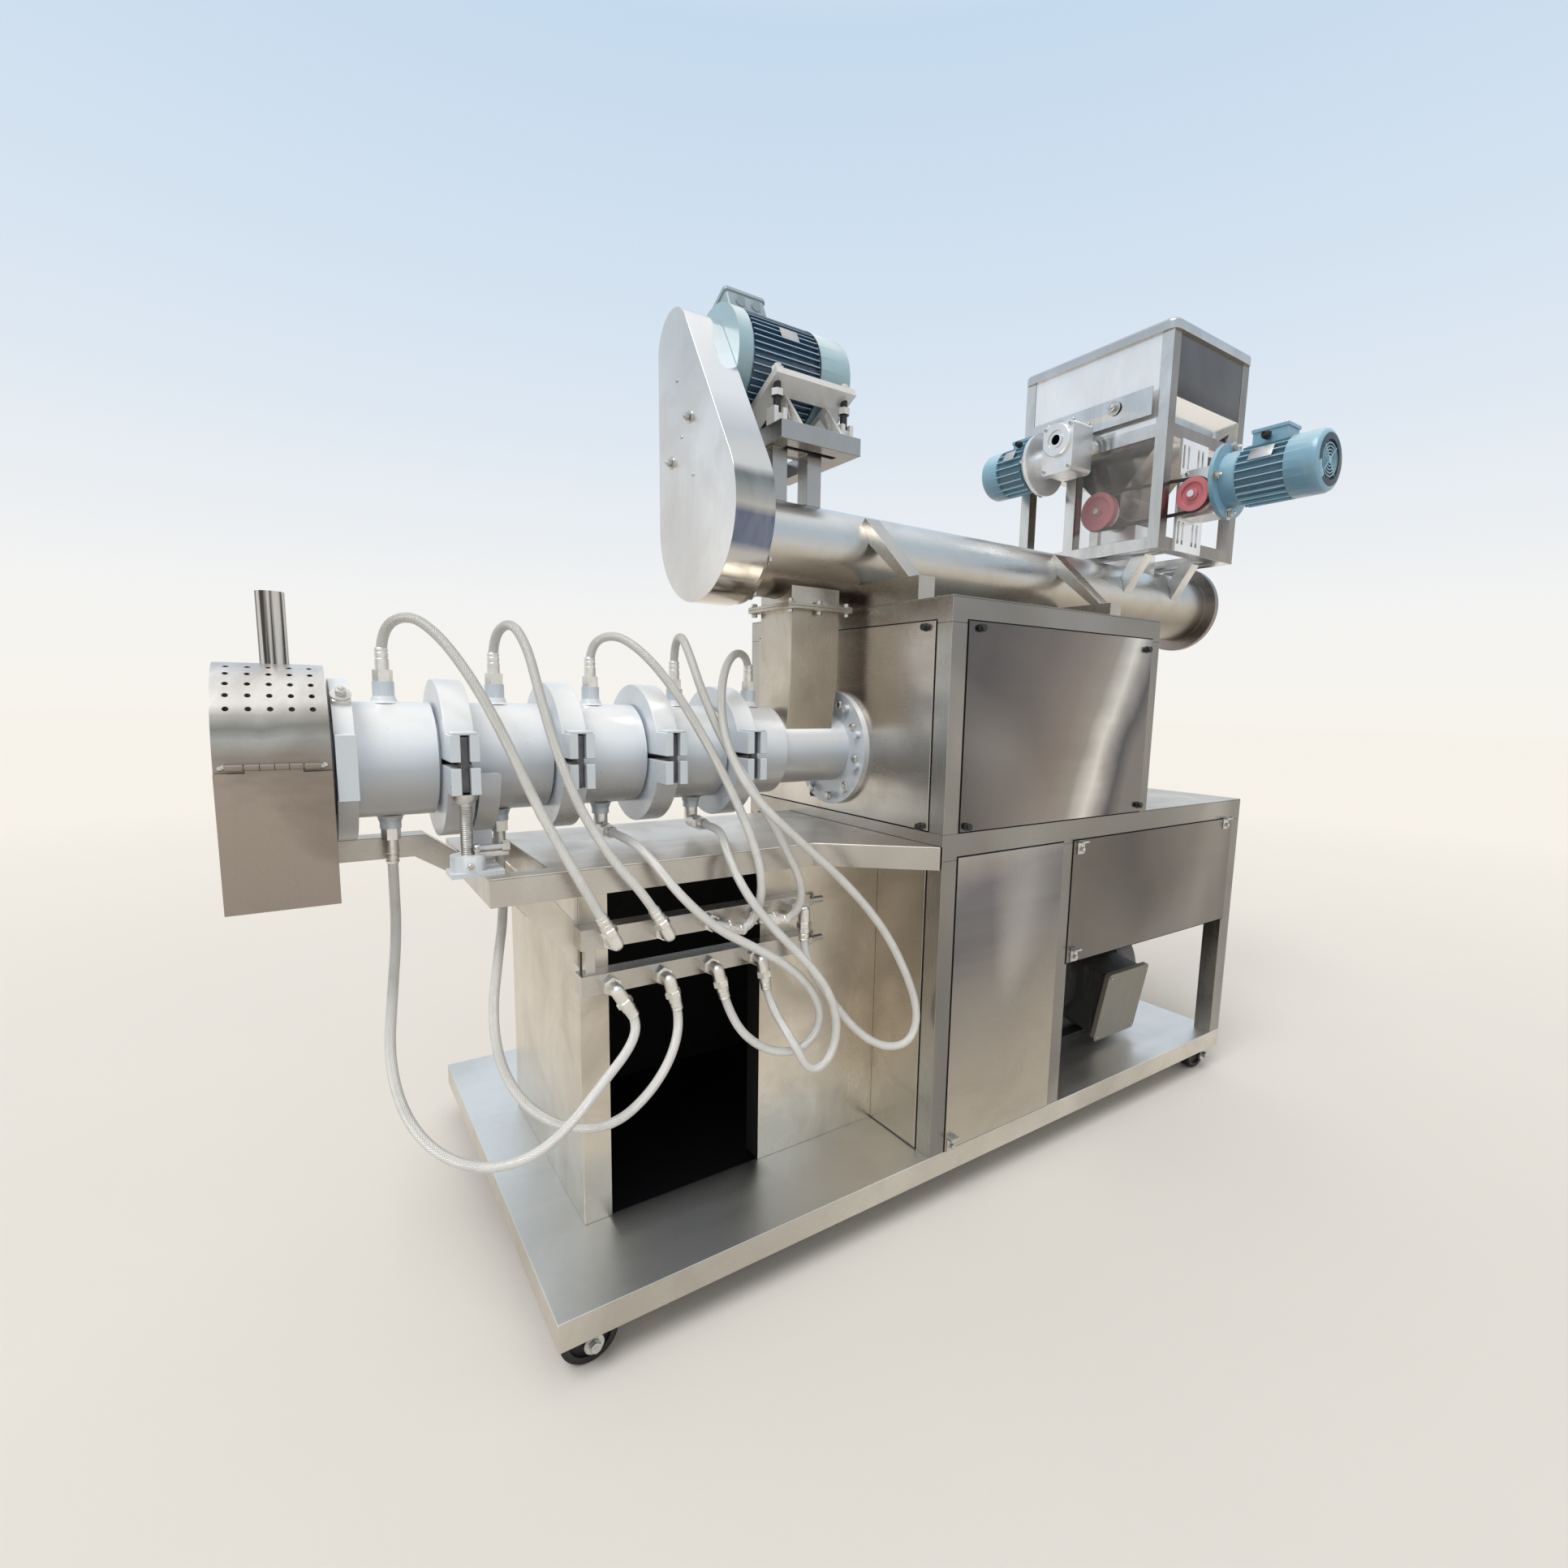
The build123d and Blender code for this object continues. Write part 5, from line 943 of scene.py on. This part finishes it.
def onStud(place, normal):
    low, high = plateStuds["z"]
    across = min(abs(place.x - x) for x in plateStuds["x"])
    return max(across, abs(place.y - plateStuds["y"])) < plateStuds["reach"] and low < place.z < high


def onShields(place, normal):
    low, high = driveMotor["shields"]
    return place.x < low or place.x > high


def onTerminalBox(place, normal):
    # above the drive motor, measured square to its tilted plate
    edge, height = driveMotor["plateEdge"]
    lean = driveMotor["lean"]
    return (place.y - edge) * math.sin(lean) + (place.z - height) * math.cos(lean) > driveMotor["boxRise"]


def inGearBore(place, normal):
    # painted shade: the walls and deep end of the gearbox's bore go near black
    motor = agitatorMotor
    away = (Vector((place.y, place.z)) - Vector(motor["bore"])).length
    inward = abs(normal.x) < 0.5 or place.x > motor["boreFace"]
    return place.x < motor["boreEnd"] and away < motor["boreRadius"] and inward


def dressCabinet():
    for node, finish in (("cabinet_posts", "tubeZ"), ("cabinet_rails", "tubeX"), ("cabinet_covers", "tubeX")):
        dress(node, finish, patches=[("tubeFront", facesFront)])
    dress("side_panels", "panelLeft")


def dressGuards():
    dress("belt_guard", "beltGuard", patches=[("beltRim", lambda place, normal: abs(normal.x) < 0.5)])
    dress("guard_hood", "guard", patches=[("guardInside", insideGuard), ("vent", onVent)])
    dress("stand_walls", "stand", patches=[("dark", insideStand)])


def dressMotors():
    dress("main_motor", "baseMotor", patches=[("lid", lambda place, normal: place.y < motorLid)])
    dress("drive_motor", "navy", bevel=0.8, patches=[
        ("tealRing", onShields), ("navyEdge", finTips(driveMotor)), ("boxGrey", onTerminalBox)])
    dress("motor_plate", "plate", bevel=1.0, patches=[("black", onStud)])
    dress("agitator_drive", "teal", bevel=0.8, patches=[
        ("tealDeep", finRoots(agitatorMotor)),
        ("tealEdge", finTips(agitatorMotor)),
        ("aluminium", lambda place, normal: place.y < agitatorMotor["gearbox"]),
        ("dark", inGearBore),
        ("fanDark", lambda place, normal: (place.y > agitatorMotor["fan"][0]
                                           and offAxis(place, agitatorMotor) < agitatorMotor["fan"][1]))])
    dress("feeder_drive", "teal", bevel=0.8, patches=[
        ("tealDeep", finRoots(feederMotor)),
        ("tealEdge", finTips(feederMotor)),
        ("fanDark", lambda place, normal: (place.y < feederMotor["fan"][0]
                                           and offAxis(place, feederMotor) < feederMotor["fan"][1])),
        ("aluminium", lambda place, normal: place.y > feederMotor["gearbox"]),
        ("polished", lambda place, normal: place.y > feederMotor["slottedPlate"])])


def dressFeed():
    dress("conditioner_tube", "conditioner", patches=[
        ("conditionerEnd", lambda place, normal: place.x > conditionerEnd)])
    dress("hopper_walls", "polished", patches=[
        ("hopperFront", facesFront), ("hopperPlate", lambda place, normal: place.x < hopperPlate)])
    dress("hopper_frame", "hopperTube", patches=[("hopperTubeDeep", facesFront)])


def dressMoving():
    dress("guard_flap", "guard", body="guard_flap")
    dress("drive_pulley", "red", body="drive_pulley")
    dress("driven_pulley", "red", body="driven_pulley")
    for end in ("front", "rear"):
        for side, x in castorPlaces["x"].items():
            wheel = f"castor_wheel_{end}_{side}"
            hub = Vector((x, castorPlaces["axle"]))
            dress(wheel, "rubber", body=wheel, patches=[
                ("black", lambda place, normal, hub=hub: (place.xz - hub).length < castorPlaces["hub"])])


for node, finish in plainNodes.items():
    dress(node, finish)
dressCabinet()
dressGuards()
dressMotors()
dressFeed()
dressMoving()
print("nodes dressed")

# cabinet panels: knobs, catches and the dark gap around each sheet

panelParts = {
    "knobsFront": [(79, 1142), (64, 732), (675, 1129), (687, 738)],
    "knobsLeft": [(72, 1143), (66, 728), (457, 754)],
    "knob": {"radius": 7.5, "height": 12},
    "knobOff": -3,
    "catches": [(461, 650), (461, 381), (1144, 655), (62, 18)],
    "catchPlate": {"size": (26, 34, 3), "off": -4.4},
    "catchLip": {"size": (26, 5, 18), "off": -9, "rise": 14},
    "catchScrew": {"across": 10, "off": -5.9, "rise": -5},
    "frontSheets": [(45, 699, 721, 1155), (45, 396, 3, 667), (436, 1183, 362, 667)],
    "leftSheets": [(45, 741, 721, 1155), (45, 741, 3, 667)],
    "gap": 2.6,
    "gapDepth": 0.5,
    "gapBevel": 0.1,
}


def gapBars(low, high, bottom, top):
    # four thin bars around a sheet, as centre and size in its own plane
    gap = panelParts["gap"]
    middle, centre = (low + high) / 2, (bottom + top) / 2
    wide, tall = high - low + 2 * gap, top - bottom
    return [(middle, bottom - gap / 2, wide, gap), (middle, top + gap / 2, wide, gap),
            (low - gap / 2, centre, gap, tall), (high + gap / 2, centre, gap, tall)]


def addPanelParts():
    off = panelParts["knobOff"]
    knobs = [(knobForm(**panelParts["knob"]), (x, off, z), front) for x, z in panelParts["knobsFront"]]
    knobs += [(knobForm(**panelParts["knob"]), (off, y, z), left) for y, z in panelParts["knobsLeft"]]
    addItems("panel_knobs", "black", knobs)
    plate, lip, screw = panelParts["catchPlate"], panelParts["catchLip"], panelParts["catchScrew"]
    catches = []
    for x, z in panelParts["catches"]:
        catches.append((boxForm(plate["size"]), (x, plate["off"], z), front))
        catches.append((boxForm(lip["size"]), (x, lip["off"], z + lip["rise"]), front))
        catches.append((boltForm(screw["across"]), (x, screw["off"], z + screw["rise"]), front))
    addItems("panel_catches", "boltSteel", catches)
    deep, bevel = panelParts["gapDepth"], panelParts["gapBevel"]
    bars = []
    for sheet in panelParts["frontSheets"]:
        for x, z, wide, tall in gapBars(*sheet):
            bars.append((boxForm((wide, tall, deep), bevel), (x, -deep / 2, z), front))
    for sheet in panelParts["leftSheets"]:
        for y, z, wide, tall in gapBars(*sheet):
            bars.append((boxForm((wide, tall, deep), bevel), (-deep / 2, y, z), left))
    addItems("panel_gaps", "dark", bars)


addPanelParts()
print("panel hardware")

# barrel: fillets round the water bosses, domed bolts on the flange, clamp washers and the screw jack

barrelParts = {
    "topStations": [-963, -784, -605, -426, -247],
    "bottomStations": [-963, -784, -589, -388],
    "fillet": {"top": 17, "foot": 26, "height": 12},
    "filletReach": 96,
    "clamps": [-868, -679, -500, -324],
    "washer": {"size": (38, 40, 5), "bevel": 0.8},
    "washerPlace": (155, 51),
    "flangeBolts": {"radius": 117, "count": 10},
    "flangeFace": -29,
    "flangeHead": {"radius": 9.4, "height": 7},
}
jackParts = {
    "place": (-868, 225),
    "thread": {"low": 726, "high": 812, "radius": 10.2, "pitch": 3.2, "deep": 1.1},
    "head": [(0, 0), (12, 0), (19, 8), (20, 16), (0, 16)],
    "lever": {"along": 16, "end": 64, "front": -12, "z": 738, "radius": 5, "length": 40},
    "leverNut": {"across": 17, "height": 13},
    "leverHead": {"radius": 8, "height": 9},
    "base": {"along": 36, "front": -6, "z": 727},
    "baseBar": {"size": (54, 14, 10), "bevel": 1.5},
    "screw": {"front": -27, "z": 711},
    "screwHead": {"radius": 5.5, "height": 4},
}
collarParts = {
    "place": (-1030, 297, 976), "block": {"size": (26, 30, 24), "bevel": 2},
    "boltPlace": (-1030, 289, 986), "bolt": {"across": 15, "stud": 4},
    "faces": (0, -0.64, 0.77),
}


def flareForm(top, foot, height):
    # weld fillet round a boss
    outline = [(foot, 0), (0.5 * (top + foot) - 1, 0.3 * height), (top + 0.6, height), (top - 1, height)]
    return turnedForm(outline, 28)


def threadForm(radius, height, pitch, deep):
    outline = [(0, 0)]
    for number in range(int(height / pitch)):
        outline += [(radius, number * pitch), (radius, (number + 0.3) * pitch),
                    (radius - deep, (number + 0.65) * pitch)]
    return turnedForm(outline + [(radius - deep, height), (0, height)], 14)


def addBarrelParts():
    y, z = barrelAxis
    reach = barrelParts["filletReach"]
    painted = []
    for row, side, heading in (("topStations", reach, up), ("bottomStations", -reach, down)):
        for station in barrelParts[row]:
            painted.append((flareForm(**barrelParts["fillet"]), (station, y, z + side), heading))
    across, rise = barrelParts["washerPlace"]
    for station in barrelParts["clamps"]:
        for side in (-across, across):
            painted.append((boxForm(**barrelParts["washer"]), (station, y + side, z + rise), up))
    addItems("barrel_fillets", "barrel", painted)
    circle = around((barrelParts["flangeFace"], y, z), right, **barrelParts["flangeBolts"])
    addItems("flange_bolts", "boltSteel", [
        (capForm(**barrelParts["flangeHead"]), place, left) for place in circle])


def addJack():
    x, y = jackParts["place"]
    thread, lever, base, screw = [jackParts[name] for name in ("thread", "lever", "base", "screw")]
    height = thread["high"] - thread["low"]
    rod = threadForm(thread["radius"], height, thread["pitch"], thread["deep"])
    radius, length = lever["radius"], lever["length"]
    addItems("jack_screw", "boltSteel", [
        (rod, (x, y, thread["low"]), up),
        (turnedForm(jackParts["head"]), (x, y, thread["high"]), up),
        (hexForm(**jackParts["leverNut"]), (x + lever["end"], y + lever["front"], lever["z"]), left),
        (capForm(**jackParts["leverHead"]), (x + lever["along"], y + lever["front"], lever["z"]), left),
    ])
    bar = turnedForm([(0, 0), (radius, 0), (radius, length), (0, length)])
    addItems("jack_clamp", "boltSteel", [
        (bar, (x + lever["along"], y + lever["front"], lever["z"]), right),
        (boxForm(**jackParts["baseBar"]), (x + base["along"], y + base["front"], base["z"]), up),
        (socketForm(**jackParts["screwHead"]), (x, y + screw["front"], screw["z"]), front),
    ])
    addItems("collar_block", "guard", [
        (boxForm(**collarParts["block"]), collarParts["place"], collarParts["faces"]),
        (boltForm(**collarParts["bolt"]), collarParts["boltPlace"], collarParts["faces"]),
    ])


addBarrelParts()
addJack()

# cutter guard: gaps between the hinge's knuckles, and the welds that hold it

hingeParts = {
    "axis": (216, 882), "gaps": [-1137, -1119.5, -1102], "ring": (4.6, 5.25, 0.9),
    "welds": [-1182, -1178, -1062, -1058], "weldFront": 224, "bead": {"radius": 4, "height": 3.4},
}


def addHingeParts():
    y, z = hingeParts["axis"]
    inner, outer, wide = hingeParts["ring"]
    ring = [(inner, 0), (outer, 0), (outer, wide), (inner, wide)]
    rings = [(turnedForm(ring), (x, y, z), right) for x in hingeParts["gaps"]]
    addItems("hinge_gaps", "black", rings, "guard_flap")
    beads = []
    for number, x in enumerate(hingeParts["welds"]):
        place = (x, hingeParts["weldFront"], z - 1 + 2 * (number % 2))
        beads.append((capForm(**hingeParts["bead"]), place, front))
    addItems("hinge_welds", "boltSteel", beads)


addHingeParts()

# hose ends: crimped sleeves and union nuts

hoseEnds = {
    "sleeve": 34, "radius": 10.8, "neck": 10.0, "lip": 9.2, "crimps": 3, "back": 15,
    "nut": (26, 14), "nutBack": 22,
}


def sleeveForm():
    wide, neck, length = hoseEnds["radius"], hoseEnds["neck"], hoseEnds["sleeve"]
    outline = [(0, 0), (wide, 0)]
    for step in range(hoseEnds["crimps"]):
        start = 5 + 10 * step
        outline += [(wide, start), (neck, start + 1), (neck, start + 3), (wide, start + 4)]
    return turnedForm(outline + [(wide, length - 3), (hoseEnds["lip"], length), (0, length)], 20)


def addHoseEnds():
    sleeves = []
    for points in routes.values():
        for end, beyond in ((points[0], points[1]), (points[-1], points[-2])):
            heading = (Vector(beyond) - Vector(end)).normalized()
            sleeves.append((sleeveForm(), tuple(Vector(end) - heading * hoseEnds["back"]), tuple(heading)))
        nut = hexForm(*hoseEnds["nut"])
        sleeves.append((nut, tuple(Vector(points[-1]) - heading * hoseEnds["nutBack"]), tuple(heading)))
    addItems("hose_sleeves", "zinc", sleeves)


addHoseEnds()
print("barrel, hinge and hose ends")

# belt guard, chute and conditioner fixings

coverParts = {
    "guardNuts": [(416, 1570), (506, 1499)],
    "guardNut": {"across": 14, "washer": 0.95, "stud": 4},
    "guardScrews": [(455, 1540), (478, 1660), (400, 1452)],
    "guardScrew": {"radius": 3.6, "height": 3},
    "guardFace": -372,
    "chute": {"x": (-198, -24), "y": (293, 467), "margin": 11},
    "chuteFlange": (1187, 1199),
    "chuteBolt": 12,
    "conditionerFlange": {"centre": (-268, 380, 1320), "radius": 115, "count": 8, "start": 22.5},
    "conditionerBolt": 14,
}


def addCoverParts():
    face, bolt = coverParts["guardFace"], coverParts["chuteBolt"]
    nuts = [(boltForm(**coverParts["guardNut"]), (face, y, z), left) for y, z in coverParts["guardNuts"]]
    nuts += [(capForm(**coverParts["guardScrew"]), (face, y, z), left) for y, z in coverParts["guardScrews"]]
    margin = coverParts["chute"]["margin"]
    (x0, x1), (y0, y1) = coverParts["chute"]["x"], coverParts["chute"]["y"]
    bottom, top = coverParts["chuteFlange"]
    for x in (x0 + margin, (x0 + x1) / 2, x1 - margin):
        for y in (y0 + margin, y1 - margin):
            nuts.append((boltForm(bolt), (x, y, top), up))
            nuts.append((boltForm(bolt), (x, y, bottom), down))
    circle = around(axis=right, **coverParts["conditionerFlange"])
    nuts += [(boltForm(coverParts["conditionerBolt"]), place, right) for place in circle]
    addItems("cover_fixings", "boltSteel", nuts)


addCoverParts()

# motors and gearboxes: grilles, lid screws, glands, plugs and blank plates

lean = driveMotor["lean"]
plateUp = (0, math.sin(lean), math.cos(lean))
plateFront = (0, -math.cos(lean), math.sin(lean))
plateRear = (0, math.cos(lean), -math.sin(lean))


def onPlate(x, along, rise):
    # a place on the drive motor's tilted plate: along the slope, and off the plate
    y, z = driveMotor["plateEdge"]
    return (x, y + along * math.cos(lean) + rise * math.sin(lean),
            z - along * math.sin(lean) + rise * math.cos(lean))


driveY, driveZ = driveMotor["axis"]
agitatorX, agitatorZ = agitatorMotor["axis"]
feederX, feederZ = feederMotor["axis"]
finParts = {"count": 24, "first": 7.5, "radius": 104.5, "thick": 2.2, "deep": 10.6, "tip": 109.3}
seamParts = {"inner": 109, "outer": 110.5, "wide": 3, "back": 2}
grille = {"wires": 5, "thick": 1.3, "spoke": (4, 2.4), "turns": (45, 135), "hub": 0.2, "hubHeight": 3}
grilles = [
    (67, (14, driveY, driveZ), right),
    (43, (agitatorX, 667, agitatorZ), rear),
    (47, (feederX, -208, feederZ), front),
]
lids = [    # middle, half the spacing of the screws, facing, and the lid's two directions
    (onPlate(-78, 126, 160), (44, 50), plateUp, right, plateRear),
    ((838, 541, 1754), (21, 33), up, right, rear),
    ((1060, -78, 1709), (27, 38), up, right, rear),
    ((870, 109, 126), (86, 96), (0, -0.985, -0.174), right, (0, -0.174, 0.985)),
]
lidScrew = {"radius": 3.6, "height": 3}
footBolts = {"across": (-172, -68), "along": (36, 216), "rise": 12, "bolt": {"across": 17, "stud": 6}}
flangeRings = [    # circle and bolt
    ({"centre": (feederX, 26, feederZ), "axis": front, "radius": 86}, {"across": 16, "stud": 8}),
    ({"centre": (agitatorX, 485, agitatorZ), "axis": rear, "radius": 78}, {"across": 15, "stud": 7}),
]
hopperNuts = {"x": 909, "y": (300, 486), "z": 1834, "nut": {"across": 18, "washer": 1.1, "stud": 4}}
gearScrew = {"radius": 5, "height": 5}
gearScrews = [    # places and facing
    ([(790, y, z) for y in (353, 437) for z in (1669, 1785)], left),
    ([(1016, y, z) for y in (48, 127) for z in (1525, 1633)], left),
    ([(x, y, 1796) for x in (800, 870) for y in (353, 437)], up),
]
plugs = [
    (15, (838, 380, 1796), up), (13, (880, 372, 1700), right),
    (15, (1060, 80, 1643), up), (12, (1016, 62, 1604), left),
]
glands = [
    (9, (801, 541, 1775), left), (10, (1017, -78, 1684), left),
    *[(9, onPlate(x, 63, 128), plateFront) for x in (-98, -58)],
]
blankPlates = {
    "turn": math.radians(28),
    "thick": 1.2,
    "places": [(driveMotor, 111, (46, 30), -150), (feederMotor, 78.5, (58, 34), -78),
               (agitatorMotor, 71.5, (40, 32), 560)],
}


def grilleForm(radius):
    # round wires on four spokes, with a hub
    thick, (wide, deep) = grille["thick"], grille["spoke"]
    forms = []
    for part in range(1, grille["wires"] + 1):
        middle = radius * part / (grille["wires"] + 1)
        inner, outer, top = middle - thick, middle + thick, 2 * thick
        forms.append(turnedForm([(inner, 0), (outer, 0), (outer, top), (inner, top), (inner, 0)], 32))
    for turn in grille["turns"]:
        spoke = boxForm((2 * radius, wide, deep), 0.3)
        bmesh.ops.rotate(spoke, matrix=Matrix.Rotation(math.radians(turn), 3, "Z"), verts=spoke.verts)
        forms.append(lifted(spoke, deep / 2))
    hub, top = radius * grille["hub"], grille["hubHeight"]
    return joined(*forms, turnedForm([(0, 0), (hub, 0), (hub, top), (0, top)]))


def glandForm(radius):
    dome = shareForm([(0, 0), (0.92, 0), (0.9, 0.9), (0.6, 1.4), (0.35, 1.4), (0.35, 1.1), (0, 1.1)],
                     radius, radius)
    return joined(hexForm(2.1 * radius, 0.8 * radius), lifted(dome, 0.8 * radius))


def lidScrews(centre, half, heading, sideways, upwards):
    places = []
    for across in (-1, 1):
        for along in (-1, 1):
            offset = Vector(sideways) * across * half[0] + Vector(upwards) * along * half[1]
            places.append((capForm(**lidScrew), tuple(Vector(centre) + offset), heading))
    return places


def addDriveFins():
    # a fin between each pair of the casting's own, its tip a painted highlight, and the seam at the cowl
    low, high = driveMotor["fins"]
    radius = finParts["radius"]
    fins = []
    for number in range(finParts["count"]):
        turn = math.radians(finParts["first"] + 360 / finParts["count"] * number)
        heading = (0, math.cos(turn), math.sin(turn))
        place = ((low + high) / 2, driveY + radius * heading[1], driveZ + radius * heading[2])
        fins.append((boxForm((high - low, finParts["thick"], finParts["deep"]), 0.4), place, heading))
    piece = addItems("drive_fins", "navy", fins)
    piece.data.materials.append(finishes["navyEdge"])
    for face in piece.data.polygons:
        if offAxis((face.center - datum) / mm, driveMotor) > finParts["tip"]:
            face.material_index = 1
    inner, outer, wide = seamParts["inner"], seamParts["outer"], seamParts["wide"]
    seam = turnedForm([(inner, 0), (outer, 0), (outer, wide), (inner, wide), (inner, 0)], 64)
    addItems("cowl_seam", "black", [(seam, (high - seamParts["back"], driveY, driveZ), right)])


def addMotorScrews():
    screws = []
    for lid in lids:
        screws += lidScrews(*lid)
    screws += [(boltForm(**footBolts["bolt"]), onPlate(x, along, footBolts["rise"]), plateUp)
               for x in footBolts["across"] for along in footBolts["along"]]
    for circle, bolt in flangeRings:
        screws += [(boltForm(**bolt), place, circle["axis"]) for place in around(count=4, start=45, **circle)]
    for places, heading in gearScrews:
        screws += [(socketForm(**gearScrew), place, heading) for place in places]
    x, z = hopperNuts["x"], hopperNuts["z"]
    screws += [(boltForm(**hopperNuts["nut"]), (x, y, z), left) for y in hopperNuts["y"]]
    addItems("motor_screws", "boltSteel", screws)


def addBlankPlates():
    # each plate stands off its motor's axis, turned up from the front or the left
    turn = blankPlates["turn"]
    plates = []
    for motor, reach, size, place in blankPlates["places"]:
        across, rise = -reach * math.cos(turn), reach * math.sin(turn)
        centre, height = motor["axis"][0] + across, motor["axis"][1] + rise
        onX = motor["lies"] == "x"
        spot = (place, centre, height) if onX else (centre, place, height)
        heading = (0, across, rise) if onX else (across, 0, rise)
        plates.append((boxForm((*size, blankPlates["thick"]), 0.3), spot, heading))
    addItems("motor_plates", "label", plates)


def addMotorParts():
    # the small parts of all three motors, and of the gearboxes on two of them
    addDriveFins()
    addItems("fan_grilles", "teal", [
        (grilleForm(radius), place, heading) for radius, place, heading in grilles])
    addMotorScrews()
    addItems("gear_plugs", "zinc", [
        (boltForm(across), place, heading) for across, place, heading in plugs])
    addItems("cable_glands", "black", [
        (glandForm(radius), place, heading) for radius, place, heading in glands])
    addBlankPlates()


addMotorParts()
print("motor parts")

# castors: axle nuts and plate bolts

castorBolts = {"nut": 17, "nutSide": 37, "bolt": 13, "x": 36, "y": 31, "z": -11}


def addCastorParts():
    across, along = castorBolts["x"], castorBolts["y"]
    bolts = []
    for x in castorPlaces["x"].values():
        for y in castorPlaces["y"]:
            for side, heading in ((-castorBolts["nutSide"], front), (castorBolts["nutSide"], rear)):
                bolts.append((boltForm(castorBolts["nut"]), (x, y + side, castorPlaces["axle"]), heading))
            bolts += [(boltForm(castorBolts["bolt"]), (x + side, y + off, castorBolts["z"]), down)
                      for side in (-across, across) for off in (-along, along)]
    addItems("castor_bolts", "boltSteel", bolts)


addCastorParts()
print("castor bolts")
